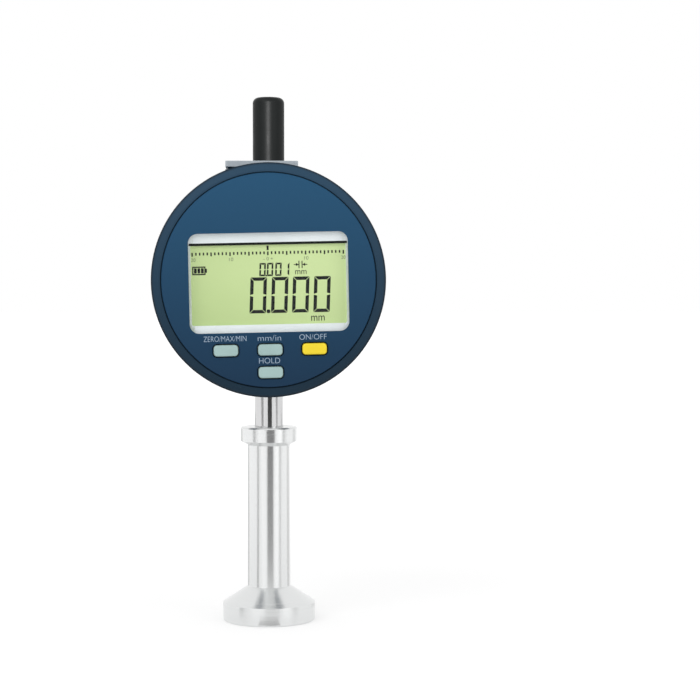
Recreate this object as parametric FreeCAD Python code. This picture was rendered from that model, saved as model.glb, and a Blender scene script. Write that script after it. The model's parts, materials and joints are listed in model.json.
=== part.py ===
import FreeCAD
import Part
import math
import os

# A digital surface profile gauge: a round display head on a drum-shaped case, held by its 8 mm stem
# in a turned metal base. The spindle runs down through the base and its needle tip stands on the
# floor in the middle of the foot.
# Millimetres. The origin is the centre of the foot's flat underside, on the spindle's axis. Z is up,
# and the display looks along -Y.

# Fits
FIT = 0.03              # running clearance of the spindle and the guide post, on the radius
SEAT = 0.02             # clearance of a pressed or screwed seat, on the radius
SWIVEL_FIT = 0.08       # running clearance of the head's swivel journal, on the radius
KEY_FIT = 0.1           # clearance round each key in the front wall
STOP_GAP = 0.1          # what is left between parts at the spindle's ends of travel

# Turned base
FOOT_R = 13.0
FOOT_EDGE_H = 5.1
FOOT_CHAMFER = 0.3
CONE_RISE = 4.6
COLUMN_R = 6.0
BASE_H = 54.5
COLLAR_R = 8.0
COLLAR_H = 4.0
COLLAR_UNDERCUT = 1.1
COLLAR_CHAMFER = 0.4
TIP_BORE_R = 1.8
TIP_BORE_H = 6.0
TIP_BORE_MOUTH = 0.5
COLUMN_BORE_R = 2.6
SOCKET_DEPTH = 12.5

# Clamp screw behind the collar
CLAMP_R = 1.5
CLAMP_L = 3.5
CLAMP_HEX = 1.5
CLAMP_HEX_DEPTH = 1.3

# Stem, bushes and spindle
STEM_R = 4.0
STEM_BORE_R = 3.0
STEM_SHOWN = 9.1        # from the collar to the lowest point of the display head
STEM_UNDER_RING = 0.5   # from the stem's top to the lowest point of the swivel ring
SPINDLE_R = 2.0
LOWER_BUSH_L = 8.0
BUSH_NOSE_R = 2.6
BUSH_FLANGE_R = 4.5
BUSH_FLANGE_H = 1.5
BUSH_NECK_R = 3.5
BUSH_NECK_IN_CAP = 3.8
WASHER_R = 3.6
WASHER_BORE_R = 2.3
WASHER_H = 1.5

# Spindle travel either side of its place on a flat floor
TRAVEL_DOWN = 3.2
TRAVEL_UP = 9.5

# Needle tip and extension rod
TIP_R = 1.5
TIP_L = 12.0
TIP_POINT_R = 0.1
TIP_HALF_ANGLE = 30.0
ROD_L = 22.0
STUD_R = 1.25
STUD_L = 3.8
STUD_END_GAP = 0.4

# Display head
HEAD_R = 32.0
HEAD_TAPER = 1.4        # how much smaller the head's radius is at its rear
HEAD_DEPTH = 10.2
HEAD_EDGE_BREAK = 0.7
HEAD_RIM_W = 2.55       # rim round the face plate
HEAD_RIM_FALL = 0.5     # how far the rim slopes back to its rounded edge
HEAD_WALL_REAR = 1.6
HEAD_FRONT_WALL = 1.4
HEAD_REAR_TAPER_L = 1.8
FACE_ROLL = 1.2         # degrees that the head stands turned, anticlockwise seen from the front
SWIVEL_HALF_TURN = 135.0

# Face plate, window and lens
FACE_THICK = 0.8
FACE_SUNK = 0.1
FACE_GAP = 0.3
WINDOW_SIDE = 7.45      # from the face plate's edge to the window, level with the centre
WINDOW_ABOVE = 16.25    # from the face plate's top to the window
WINDOW_TO_KEYS = 4.74   # from the window to the middle of the upper row of keys
WINDOW_CORNER = 2.6
LENS_GAP = 0.05
LENS_LIP = 1.3
LENS_LIP_THICK = 0.8
LENS_SUNK = 0.05

# Display stack behind the lens
LCD_BAND_SIDE = 0.55    # white band between the window's edge and the display
LCD_BAND_TOP = 2.79
LCD_BAND_LOW = 2.11
LCD_VIEW_CORNER = 0.6
LCD_FRAME_WALL = 1.0
LCD_LIP_THICK = 0.7
LCD_THICK = 1.2
LCD_CORNER = 0.5
BACKLIGHT_INSET = 0.7   # smaller than the display on each side
BACKLIGHT_THICK = 0.8
STRIP_INSET = 1.7
STRIP_H = 1.6
STRIP_EDGE = 0.6

# Circuit board in the head
BOARD_GAP = 2.6         # from the front wall's inside to the board
BOARD_THICK = 1.0
BOARD_EDGE_GAP = 0.4
HEAD_BOSS_R = 1.9
HEAD_BOSS_SHOULDER_R = 2.6
HEAD_BOSS_INSET = 2.0   # from the inner wall to a boss's centre
HEAD_BOSS_ANGLES = (60.0, 120.0, 247.0, 293.0)
HEAD_BOSS_NOTCH = 0.15
BATTERY_SIZE = (22.0, 15.0, 2.3)
BATTERY_AT = (-4.0, -7.0)
BATTERY_CORNER = 1.0
HEAD_CHIPS = ((9.0, 9.0, 9.0, 7.0, 1.0), (12.0, -8.0, 6.0, 6.0, 0.9), (-10.0, 9.0, 5.0, 4.0, 0.8))

# Keys
KEY_W = 6.8
KEY_H = 3.2
KEY_CORNER = 0.85
KEY_CHAMFER = 0.3
KEY_PROUD = 0.7
KEY_PITCH = 12.05
KEY_ROW_STEP = 6.16     # between the two rows of keys
HOLD_KEY_UP = 4.05      # from the face plate's lowest point to the middle of the lowest key
KEY_FACE_GAP = 0.28
KEY_FLANGE = 0.6
KEY_FLANGE_THICK = 0.6
KEY_SEAT = 0.05
KEY_POST_R = 1.0
KEY_TRAVEL = 0.5
KEY_END_GAP = 0.05
SWITCH_SIDE = 4.4
SWITCH_THICK = 0.35
SWITCH_DOME_R = 1.3
SWITCH_DOME_H = 0.15

# Data socket in the head's side
SOCKET_W = 7.8
SOCKET_H = 2.5
SOCKET_L = 5.8
SOCKET_SHELL = 0.35
SOCKET_CAVITY_L = 4.6
SOCKET_TONGUE_W = 5.6
SOCKET_TONGUE_H = 0.6
SOCKET_TONGUE_L = 4.0
SOCKET_SUNK = 1.3       # from the head's widest radius to the socket's mouth
PORT_GAP = 0.2
PORT_CORNER = 0.7
SOCKET_CORNER = 0.5

# Rear of the head and its swivel
HEAD_BACK_THICK = 1.6
HEAD_BACK_PAD_R = 1.5
HEAD_BACK_PAD_INSET = 4.1
HEAD_BACK_PAD_ANGLES = (12.0, 90.0, 168.0)
SWIVEL_WALL = 2.5
SWIVEL_GAP = 0.3        # between the head and the case
FLEX_HOLE_R = 5.0
SWIVEL_RING_LIP = 1.9   # how far the ring stands out past the journal
SWIVEL_RING_THICK = 0.8
SWIVEL_RING_GAP = 0.15
SEAL_W = 1.2
SEAL_INSET = 1.8        # from the stop groove's middle to the seal
SEAL_TO_SWIVEL = 0.7
SEAL_DEPTH = 0.7
SEAL_SIDE_GAP = 0.1
SEAL_RUN_GAP = 0.1
STOP_INSET = 3.6        # from the circle of the head's screws to the stop groove's middle
STOP_GROOVE_W = 2.0
STOP_GROOVE_DEPTH = 1.0
STOP_PIN_R = 0.7
STOP_PIN_REACH = 0.7

# Drum-shaped case
CASE_SMALLER = 2.0      # how much smaller than the head its radius is
CASE_WALL = 1.6
CASE_FRONT_WALL = 1.2
CASE_FRONT_AIR = 2.0    # from the stem to the case's front face
CASE_DEPTH = 15.2
STEM_BOSS_R = 5.2
STEM_BOSS_SHORT = 1.3   # how far the boss ends below the stem's top
COVER_BOSS_R = 2.4
COVER_BOSS_INSET = 2.6
COVER_SCREW_ANGLES = (45.0, 135.0, 225.0, 315.0)
READER_POST_R = 2.0
READER_POST_IN_U = 2.1  # from the board's edge to a post's middle
READER_POST_IN_V = 2.2

# Shoulder block, top plate and cap
SHOULDER_LEFT = 12.0
SHOULDER_RIGHT = 8.2
SHOULDER_RISE = 0.7     # above the drum
SHOULDER_FRONT = 5.2
SHOULDER_REAR = 7.5
SHOULDER_ROUND = 0.5
LAND_INSET = 0.76
LAND_H = 0.7
PLATE_THICK = 1.7
PLATE_FRONT = 5.5
PLATE_CORNER = 0.8
CAP_R = 4.4
CAP_H = 17.9
CAP_ROUND = 1.57
CAP_ROOF = 1.4
CAP_CAVITY_R = 2.8

# Back cover and its lug
COVER_THICK = 2.0
COVER_INSET = 0.4
COVER_CHAMFER = 0.6
LUG_THICK = 5.0
LUG_END_R = 7.0
LUG_HOLE_R = 3.25
LUG_REACH = 7.7         # from the cover's outside to the hole's centre
LUG_ROOT_ROUND = 1.2

# Plunger inside the case
CARRIER_HALF_W = 5.0
CARRIER_FRONT = 3.2
CARRIER_REAR = 4.3
CARRIER_SCREW_DOWN = 6.2  # from the carrier's top
ARM_WALL = 1.05         # round the guide post's bore
ARM_HALF_D = 2.2
ARM_H = 8.0
GUIDE_TO_POST = 4.0     # from the guide post to the reader board's posts, across
GUIDE_R = 1.25
GUIDE_SUNK = 1.0        # into the case's wall at each end
SCALE_W = 8.0
SCALE_END = 0.5         # from the scale's end to the carrier's
SCALE_THICK = 1.0
READER_GAP = 0.3
READER_BOSS_GAP = 0.24  # from the board's side to the cover bosses
READER_END = 4.2        # from the board's end to the case's wall
READER_THICK = 1.6
READER_CORNER = 6.0
READER_CHIPS = ((0.0, 0.0, 8.0, 12.0, 1.0), (0.0, 14.0, 6.0, 5.0, 0.9), (-8.0, -12.0, 5.0, 4.0, 0.8))

# Return spring round the upper bush
SPRING_IN_R = 2.75
SPRING_WIRE = 0.5
SPRING_TURNS = 5
SPRING_L = 20.2         # at rest on a flat floor

# Small screws: shank radius, length, head radius and head height
COVER_SCREW = (0.88, 8.0, 1.7, 1.2)
READER_SCREW = (0.78, 6.0, 1.4, 0.9)
PLATE_SCREW = (0.88, 4.4, 1.6, 1.0)
HEAD_SCREW = (0.8, 6.0, 1.4, 0.9)
RING_SCREW = (0.6, 2.6, 1.0, 0.45)
CARRIER_SCREW_R = 0.78
CARRIER_SCREW_HEAD = (1.3, 0.8)
SCREW_SLOT_W = 0.4
SCREW_SLOT_DEPTH = 0.3
SCREW_END_GAP = 0.3
SCREW_HEAD_GAP = 0.1
PLATE_SCREW_AT = ((-8.6, -2.4), (5.4, 5.0))
RING_SCREW_ANGLES = (30.0, 150.0, 270.0)

# Radii worked out from the sizes above
CASE_R = HEAD_R - CASE_SMALLER
CASE_BORE_R = CASE_R - CASE_WALL
COVER_BOSS_AT = CASE_BORE_R - COVER_BOSS_INSET
FACE_POCKET_R = HEAD_R - HEAD_RIM_W
FACE_R = FACE_POCKET_R - FACE_GAP
HEAD_REAR_R = HEAD_R - HEAD_TAPER
HEAD_BORE_R = HEAD_REAR_R - HEAD_WALL_REAR
HEAD_BOSS_AT = HEAD_BORE_R - HEAD_BOSS_INSET
BOARD_R = HEAD_BORE_R - BOARD_EDGE_GAP
HEAD_BACK_PAD_AT = BOARD_R - HEAD_BACK_PAD_INSET
STOP_R = HEAD_BOSS_AT - STOP_INSET
SEAL_OUT_R = STOP_R - SEAL_INSET
SEAL_IN_R = SEAL_OUT_R - SEAL_W
SWIVEL_R = SEAL_IN_R - SEAL_TO_SWIVEL
SWIVEL_BORE_R = SWIVEL_R - SWIVEL_WALL
SWIVEL_RING_R = SWIVEL_R + SWIVEL_RING_LIP
RING_SCREW_AT = (SWIVEL_BORE_R + SWIVEL_R) / 2

# Heights worked out from the sizes above
COLLAR_Z = BASE_H - COLLAR_H
STEM_Z = BASE_H - SOCKET_DEPTH
DIAL_Z = BASE_H + STEM_SHOWN + HEAD_R
CASE_CEILING = DIAL_Z + CASE_BORE_R
CASE_FLOOR = DIAL_Z - CASE_BORE_R
STEM_TOP = DIAL_Z - SWIVEL_RING_R - STEM_UNDER_RING
CARRIER_Z = STEM_TOP + WASHER_H + TRAVEL_DOWN + STOP_GAP
FLANGE_Z = CASE_CEILING - BUSH_FLANGE_H
CARRIER_TOP = FLANGE_Z - SPRING_L
NOSE_Z = CARRIER_TOP + TRAVEL_UP + 2 * STOP_GAP
ARM_Z = (CARRIER_Z + CARRIER_TOP - ARM_H) / 2
SHOULDER_Z = DIAL_Z + CASE_R + SHOULDER_RISE
PLATE_Z = SHOULDER_Z + LAND_H
CAP_Z = PLATE_Z + PLATE_THICK
CAP_TOP = CAP_Z + CAP_H
NECK_TOP = CAP_Z + BUSH_NECK_IN_CAP
SPINDLE_TOP = CAP_TOP - CAP_ROOF - TRAVEL_UP - 2 * STOP_GAP
ROD_Z = TIP_L
SPINDLE_Z = ROD_Z + ROD_L

# Depths worked out from the sizes above, from the front to the rear
CASE_FRONT = -(STEM_R + CASE_FRONT_AIR)
CASE_INSIDE = CASE_FRONT + CASE_FRONT_WALL
CASE_REAR = CASE_FRONT + CASE_DEPTH
COVER_REAR = CASE_REAR + COVER_THICK
LUG_Y = COVER_REAR + LUG_REACH
HEAD_REAR = CASE_FRONT - SWIVEL_GAP
HEAD_FRONT = HEAD_REAR - HEAD_DEPTH
HEAD_BACK_INSIDE = HEAD_REAR - HEAD_BACK_THICK
FACE_FRONT = HEAD_FRONT + FACE_SUNK
FACE_SEAT = FACE_FRONT + FACE_THICK
HEAD_INSIDE = FACE_SEAT + HEAD_FRONT_WALL
LENS_FRONT = FACE_FRONT + LENS_SUNK
LENS_REAR = FACE_SEAT + LENS_LIP_THICK
LCD_FRONT = LENS_REAR + LCD_LIP_THICK
LCD_REAR = LCD_FRONT + LCD_THICK
BOARD_FRONT = HEAD_INSIDE + BOARD_GAP
BOARD_REAR = BOARD_FRONT + BOARD_THICK
KEY_FRONT = FACE_FRONT - KEY_PROUD
KEY_FLANGE_Y = HEAD_INSIDE + KEY_SEAT
KEY_FLANGE_REAR = KEY_FLANGE_Y + KEY_FLANGE_THICK
SWITCH_TOP = BOARD_FRONT - SWITCH_THICK - SWITCH_DOME_H
KEY_POST_END = SWITCH_TOP - KEY_END_GAP - KEY_TRAVEL
SCALE_REAR = CARRIER_REAR + SCALE_THICK
READER_FRONT = SCALE_REAR + READER_GAP
READER_REAR = READER_FRONT + READER_THICK
SPIGOT_END = CASE_INSIDE + SWIVEL_RING_GAP
RING_REAR = SPIGOT_END + SWIVEL_RING_THICK

# Places on the face worked out from the sizes above, from the dial's centre
HOLD_KEY_V = HOLD_KEY_UP - FACE_R
KEY_ROW_V = HOLD_KEY_V + KEY_ROW_STEP
WINDOW_LOW = KEY_ROW_V + WINDOW_TO_KEYS
WINDOW_TOP = FACE_R - WINDOW_ABOVE
WINDOW_W = 2 * (FACE_R - WINDOW_SIDE)
WINDOW_H = WINDOW_TOP - WINDOW_LOW
WINDOW_V = (WINDOW_TOP + WINDOW_LOW) / 2
LENS_LIP_W = WINDOW_W + 2 * LENS_LIP
LENS_LIP_H = WINDOW_H + 2 * LENS_LIP
LCD_VIEW_W = WINDOW_W - 2 * LCD_BAND_SIDE
LCD_VIEW_H = WINDOW_H - LCD_BAND_TOP - LCD_BAND_LOW
LCD_VIEW_V = (WINDOW_TOP - LCD_BAND_TOP + WINDOW_LOW + LCD_BAND_LOW) / 2

# Places inside the case worked out from the sizes above
READER_HALF_H = CASE_BORE_R - READER_END
READER_HALF_W = COVER_BOSS_AT * math.sqrt(0.5) - COVER_BOSS_R - READER_BOSS_GAP
READER_POST_U = READER_HALF_W - READER_POST_IN_U
READER_POST_V = READER_HALF_H - READER_POST_IN_V
GUIDE_X = READER_POST_U - GUIDE_TO_POST
ARM_TIP_X = GUIDE_X + GUIDE_R + ARM_WALL
CARRIER_SCREW = (CARRIER_SCREW_R, CARRIER_HALF_W - SPINDLE_R - SEAT) + CARRIER_SCREW_HEAD

KEYS = {
    "zero_key": (-KEY_PITCH, KEY_ROW_V),
    "unit_key": (0.0, KEY_ROW_V),
    "power_key": (KEY_PITCH, KEY_ROW_V),
    "hold_key": (0.0, HOLD_KEY_V),
}

UP = FreeCAD.Vector(0, 0, 1)
BACK = FreeCAD.Vector(0, 1, 0)
RIGHT = FreeCAD.Vector(1, 0, 0)
DIAL_CENTRE = FreeCAD.Vector(0, 0, DIAL_Z)


# Shapes used by several pieces

def rod_z(radius, low, high, x=0.0, y=0.0):
    """An upright cylinder."""
    return Part.makeCylinder(radius, high - low, FreeCAD.Vector(x, y, low), UP)


def rod_y(radius, front, rear, u=0.0, v=0.0):
    """A cylinder from front to rear, placed from the display's centre."""
    return Part.makeCylinder(radius, rear - front, FreeCAD.Vector(u, front, DIAL_Z + v), BACK)


def block(x0, x1, y0, y1, z0, z1):
    """A box between two corners."""
    return Part.makeBox(x1 - x0, y1 - y0, z1 - z0, FreeCAD.Vector(x0, y0, z0))


def slab(width, height, front, rear, u=0.0, v=0.0, corner=0.0):
    """A plate facing front, placed from the display's centre, with rounded corners."""
    z = DIAL_Z + v
    plate = block(u - width / 2, u + width / 2, front, rear, z - height / 2, z + height / 2)
    if corner > 0:
        edges = [e for e in plate.Edges if e.BoundBox.YLength > (rear - front) / 2]
        plate = plate.makeFillet(corner, edges)
    return plate


def outline(to_point, start, legs):
    """A closed face from a start point and legs; a leg is a point, or (through, end) for an arc."""
    edges = []
    here = start
    for leg in list(legs) + [start]:
        if isinstance(leg[0], tuple):
            through, there = leg
            edges.append(Part.Arc(to_point(here), to_point(through), to_point(there)).toShape())
        else:
            there = leg
            edges.append(Part.makeLine(to_point(here), to_point(there)))
        here = there
    return Part.Face(Part.Wire(edges))


def turned(start, *legs):
    """A turned piece about the spindle's axis, from (radius, height) points."""
    face = outline(lambda p: FreeCAD.Vector(p[0], 0, p[1]), start, legs)
    return face.revolve(FreeCAD.Vector(0, 0, 0), UP, 360)


def turned_dial(start, *legs):
    """A turned piece about the display's axis, from (radius, depth) points."""
    face = outline(lambda p: FreeCAD.Vector(p[0], p[1], DIAL_Z), start, legs)
    return face.revolve(DIAL_CENTRE, BACK, 360)


def polar(radius, degrees):
    """The (u, v) place at a radius and an angle, anticlockwise from the right."""
    angle = math.radians(degrees)
    return radius * math.cos(angle), radius * math.sin(angle)


def rolled(shape):
    """Turns a piece of the head by the small angle at which the head stands."""
    shape.rotate(DIAL_CENTRE, BACK, -FACE_ROLL)
    return shape


def screw(size, at, direction):
    """A slotted screw with its head's top at a point, running along a direction."""
    shank_r, length, head_r, head_h = size
    head = Part.makeCylinder(head_r, head_h, at, direction)
    shank = Part.makeCylinder(shank_r, length - head_h, at + direction * head_h, direction)
    side = UP if abs(direction.z) < 0.5 else BACK
    across = direction.cross(side)
    corner = at - across * head_r - side * (SCREW_SLOT_W / 2)
    slot = Part.Face(Part.makePolygon([
        corner,
        corner + across * (2 * head_r),
        corner + across * (2 * head_r) + side * SCREW_SLOT_W,
        corner + side * SCREW_SLOT_W,
        corner,
    ])).extrude(direction * SCREW_SLOT_DEPTH)
    return head.fuse(shank).cut(slot).removeSplitter()


def screw_hole(size, at, direction):
    """The stepped hole that a screw and its head seat in."""
    shank_r, length, head_r, head_h = size
    head = Part.makeCylinder(head_r + SCREW_HEAD_GAP, head_h, at, direction)
    depth = length - head_h + SCREW_END_GAP
    return head.fuse(Part.makeCylinder(shank_r + SEAT, depth, at + direction * head_h, direction))


def dial_point(u, v, y):
    """A point placed from the display's centre."""
    return FreeCAD.Vector(u, y, DIAL_Z + v)


def head_boss_places():
    """Where the head's four screw bosses stand."""
    return [polar(HEAD_BOSS_AT, angle) for angle in HEAD_BOSS_ANGLES]


def cover_boss_places():
    """Where the case's four cover screws stand."""
    return [polar(COVER_BOSS_AT, angle) for angle in COVER_SCREW_ANGLES]


def reader_post_places():
    """Where the reader board's four posts stand."""
    return [(i * READER_POST_U, j * READER_POST_V) for i in (-1, 1) for j in (-1, 1)]


def reader_screw_point(u, v):
    """The top of a reader board screw's head, which stands on the board."""
    return dial_point(u, v, READER_REAR + READER_SCREW[-1])


def group(shapes):
    """Separate solids of one kind, kept together."""
    return Part.makeCompound(shapes)


# Base, stem and the spindle's bearings

def base():
    """The turned base: foot, cone, column and collar, bored for the tip, the rod and the stem."""
    cone_z = FOOT_EDGE_H + CONE_RISE
    body = turned(
        (0, 0),
        (FOOT_R - FOOT_CHAMFER, 0),
        (FOOT_R, FOOT_CHAMFER),
        (FOOT_R, FOOT_EDGE_H),
        (COLUMN_R, cone_z),
        (COLUMN_R, COLLAR_Z - COLLAR_UNDERCUT),
        (COLLAR_R, COLLAR_Z),
        (COLLAR_R, BASE_H - COLLAR_CHAMFER),
        (COLLAR_R - COLLAR_CHAMFER, BASE_H),
        (0, BASE_H),
    )
    bores = turned(
        (0, 0),
        (TIP_BORE_R + TIP_BORE_MOUTH, 0),
        (TIP_BORE_R, TIP_BORE_MOUTH),
        (TIP_BORE_R, TIP_BORE_H),
        (COLUMN_BORE_R, TIP_BORE_H),
        (COLUMN_BORE_R, STEM_Z),
        (STEM_R + SEAT, STEM_Z),
        (STEM_R + SEAT, BASE_H),
        (0, BASE_H),
    )
    clamp = Part.makeCylinder(CLAMP_R + SEAT, COLLAR_R, FreeCAD.Vector(0, 0, clamp_height()), BACK)
    return body.cut(bores).cut(clamp)


def clamp_height():
    """The clamp screw's height, at the middle of the collar."""
    return BASE_H - COLLAR_H / 2


def clamp_screw():
    """The grub screw that holds the stem, with its hexagon socket to the rear."""
    start = FreeCAD.Vector(0, STEM_R + SEAT, clamp_height())
    body = Part.makeCylinder(CLAMP_R, CLAMP_L, start, BACK)
    corner_r = CLAMP_HEX / math.sqrt(3)
    end_y = STEM_R + SEAT + CLAMP_L
    corners = []
    for side in range(7):
        angle = math.radians(60 * side)
        corners.append(FreeCAD.Vector(
            corner_r * math.cos(angle), end_y, clamp_height() + corner_r * math.sin(angle)))
    socket = Part.Face(Part.makePolygon(corners)).extrude(BACK * -CLAMP_HEX_DEPTH)
    return body.cut(socket)


def stem():
    """The 8 mm stem tube that the base clamps."""
    return rod_z(STEM_R, STEM_Z, STEM_TOP).cut(rod_z(STEM_BORE_R, STEM_Z, STEM_TOP))


def lower_bush():
    """The spindle's lower bearing, pressed into the stem."""
    return rod_z(STEM_BORE_R - SEAT, STEM_Z, STEM_Z + LOWER_BUSH_L).cut(
        rod_z(SPINDLE_R + FIT, STEM_Z, STEM_Z + LOWER_BUSH_L))


def upper_bush():
    """The spindle's upper bearing: a nose for the spring, a flange and a neck for plate and cap."""
    return turned(
        (SPINDLE_R + FIT, NOSE_Z),
        (BUSH_NOSE_R, NOSE_Z),
        (BUSH_NOSE_R, FLANGE_Z),
        (BUSH_FLANGE_R, FLANGE_Z),
        (BUSH_FLANGE_R, CASE_CEILING),
        (BUSH_NECK_R, CASE_CEILING),
        (BUSH_NECK_R, NECK_TOP),
        (SPINDLE_R + FIT, NECK_TOP),
    )


def buffer_washer():
    """The soft washer on the stem's end that stops the carrier."""
    top = STEM_TOP + WASHER_H
    return rod_z(WASHER_R, STEM_TOP, top).cut(rod_z(WASHER_BORE_R, STEM_TOP, top))


# Case and what closes it

def guide_reach():
    """How far above and below the display's axis the guide post goes, at its own place."""
    return math.sqrt(CASE_BORE_R ** 2 - GUIDE_X ** 2) + GUIDE_SUNK


def rear_case():
    """The drum with its front wall, shoulder block, stem boss, screw bosses and board posts."""
    drum = rod_y(CASE_R, CASE_FRONT, CASE_REAR)
    shoulder = block(-SHOULDER_LEFT, SHOULDER_RIGHT, -SHOULDER_FRONT, SHOULDER_REAR, DIAL_Z, SHOULDER_Z)
    uprights = [e for e in shoulder.Edges if e.BoundBox.ZLength > CASE_R / 2]
    shoulder = shoulder.makeFillet(SHOULDER_ROUND, uprights)
    land = block(-SHOULDER_LEFT + LAND_INSET, SHOULDER_RIGHT - LAND_INSET,
                 -SHOULDER_FRONT + LAND_INSET, SHOULDER_REAR - LAND_INSET, DIAL_Z, PLATE_Z)
    shell = drum.fuse([shoulder, land]).cut(rod_y(CASE_BORE_R, CASE_INSIDE, CASE_REAR))
    solid = [rod_z(STEM_BOSS_R, CASE_FLOOR - SEAT, STEM_TOP - STEM_BOSS_SHORT)]
    solid += [rod_y(COVER_BOSS_R, CASE_INSIDE, CASE_REAR, u, v) for u, v in cover_boss_places()]
    solid += [rod_y(READER_POST_R, CASE_INSIDE, READER_FRONT, u, v) for u, v in reader_post_places()]
    case = shell.fuse(solid)
    holes = [
        rod_y(SWIVEL_R + SWIVEL_FIT, CASE_FRONT, CASE_INSIDE),
        rod_z(STEM_R + SEAT, DIAL_Z - CASE_R, STEM_TOP),
        rod_z(BUSH_NECK_R + SEAT, CASE_CEILING, PLATE_Z),
        rod_z(BUSH_FLANGE_R + STOP_GAP, FLANGE_Z, CASE_CEILING),
        rod_z(GUIDE_R + SEAT, DIAL_Z - guide_reach(), DIAL_Z + guide_reach(), GUIDE_X),
        rod_y(STOP_PIN_R + SEAT, CASE_FRONT, CASE_INSIDE, 0, STOP_R),
    ]
    holes += [screw_hole(COVER_SCREW, dial_point(u, v, COVER_REAR), -BACK) for u, v in cover_boss_places()]
    holes += [screw_hole(READER_SCREW, reader_screw_point(u, v), -BACK) for u, v in reader_post_places()]
    holes += [screw_hole(PLATE_SCREW, FreeCAD.Vector(x, y, CAP_Z), -UP) for x, y in PLATE_SCREW_AT]
    return case.cut(holes).removeSplitter()


def back_cover():
    """The cover with the drilled lug that a stand or clamp takes hold of."""
    disc = rod_y(CASE_R - COVER_INSET, CASE_REAR, COVER_REAR)
    rim = [e for e in disc.Edges if e.BoundBox.YLength < SEAT and e.BoundBox.YMin > CASE_REAR + SEAT]
    disc = disc.makeChamfer(COVER_CHAMFER, rim)
    half = LUG_THICK / 2
    arm = block(-half, half, CASE_REAR + COVER_THICK / 2, LUG_Y, DIAL_Z - LUG_END_R, DIAL_Z + LUG_END_R)
    end = Part.makeCylinder(LUG_END_R, LUG_THICK, FreeCAD.Vector(-half, LUG_Y, DIAL_Z), RIGHT)
    cover = disc.fuse([arm, end]).removeSplitter()
    root = [e for e in cover.Edges
            if abs(e.BoundBox.YMin - COVER_REAR) < SEAT and e.BoundBox.YLength < SEAT
            and e.BoundBox.DiagonalLength < 3 * LUG_END_R]
    cover = cover.makeFillet(LUG_ROOT_ROUND, root)
    holes = [Part.makeCylinder(LUG_HOLE_R, LUG_THICK, FreeCAD.Vector(-half, LUG_Y, DIAL_Z), RIGHT)]
    holes += [screw_hole(COVER_SCREW, dial_point(u, v, COVER_REAR), -BACK) for u, v in cover_boss_places()]
    return cover.cut(holes)


def back_screws():
    """The four screws of the back cover."""
    return group([screw(COVER_SCREW, dial_point(u, v, COVER_REAR), -BACK) for u, v in cover_boss_places()])


def top_plate():
    """The metal plate under the cap."""
    plate = block(-SHOULDER_LEFT, SHOULDER_RIGHT, -PLATE_FRONT, SHOULDER_REAR, PLATE_Z, CAP_Z)
    corners = [e for e in plate.Edges if e.BoundBox.ZLength > PLATE_THICK / 2]
    plate = plate.makeFillet(PLATE_CORNER, corners)
    holes = [rod_z(BUSH_NECK_R + SEAT, PLATE_Z, CAP_Z)]
    holes += [screw_hole(PLATE_SCREW, FreeCAD.Vector(x, y, CAP_Z), -UP) for x, y in PLATE_SCREW_AT]
    return plate.cut(holes)


def plate_screws():
    """The two screws of the top plate."""
    return group([screw(PLATE_SCREW, FreeCAD.Vector(x, y, CAP_Z), -UP) for x, y in PLATE_SCREW_AT])


def spindle_cap():
    """The tall cap over the spindle's upper end."""
    turn = CAP_ROUND * (1 - math.sqrt(0.5))
    return turned(
        (BUSH_NECK_R + SEAT, CAP_Z),
        (CAP_R, CAP_Z),
        (CAP_R, CAP_TOP - CAP_ROUND),
        ((CAP_R - turn, CAP_TOP - turn), (CAP_R - CAP_ROUND, CAP_TOP)),
        (0, CAP_TOP),
        (0, CAP_TOP - CAP_ROOF),
        (CAP_CAVITY_R, CAP_TOP - CAP_ROOF),
        (CAP_CAVITY_R, NECK_TOP + 2 * STOP_GAP),
        (BUSH_NECK_R + SEAT, NECK_TOP + 2 * STOP_GAP),
    )


def guide_post():
    """The post that keeps the carrier from turning."""
    return rod_z(GUIDE_R, DIAL_Z - guide_reach(), DIAL_Z + guide_reach(), GUIDE_X)


def swivel_stop_pin():
    """The pin in the case that the head's stop groove runs round."""
    return rod_y(STOP_PIN_R, HEAD_REAR - STOP_PIN_REACH, CASE_INSIDE, 0, STOP_R)


def reader_board():
    """The board that reads the scale strip."""
    board = slab(2 * READER_HALF_W, 2 * READER_HALF_H, READER_FRONT, READER_REAR)
    corners = [e for e in board.Edges if e.BoundBox.YLength > READER_THICK / 2]
    board = board.makeChamfer(READER_CORNER, corners)
    holes = [screw_hole(READER_SCREW, reader_screw_point(u, v), -BACK) for u, v in reader_post_places()]
    return board.cut(holes)


def reader_screws():
    """The four screws of the reader board."""
    return group([screw(READER_SCREW, reader_screw_point(u, v), -BACK) for u, v in reader_post_places()])


def chips(places, face):
    """Square packages standing on a board's rear face."""
    return group([slab(w, h, face, face + t, u, v) for u, v, w, h, t in places])


# Display head

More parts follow.
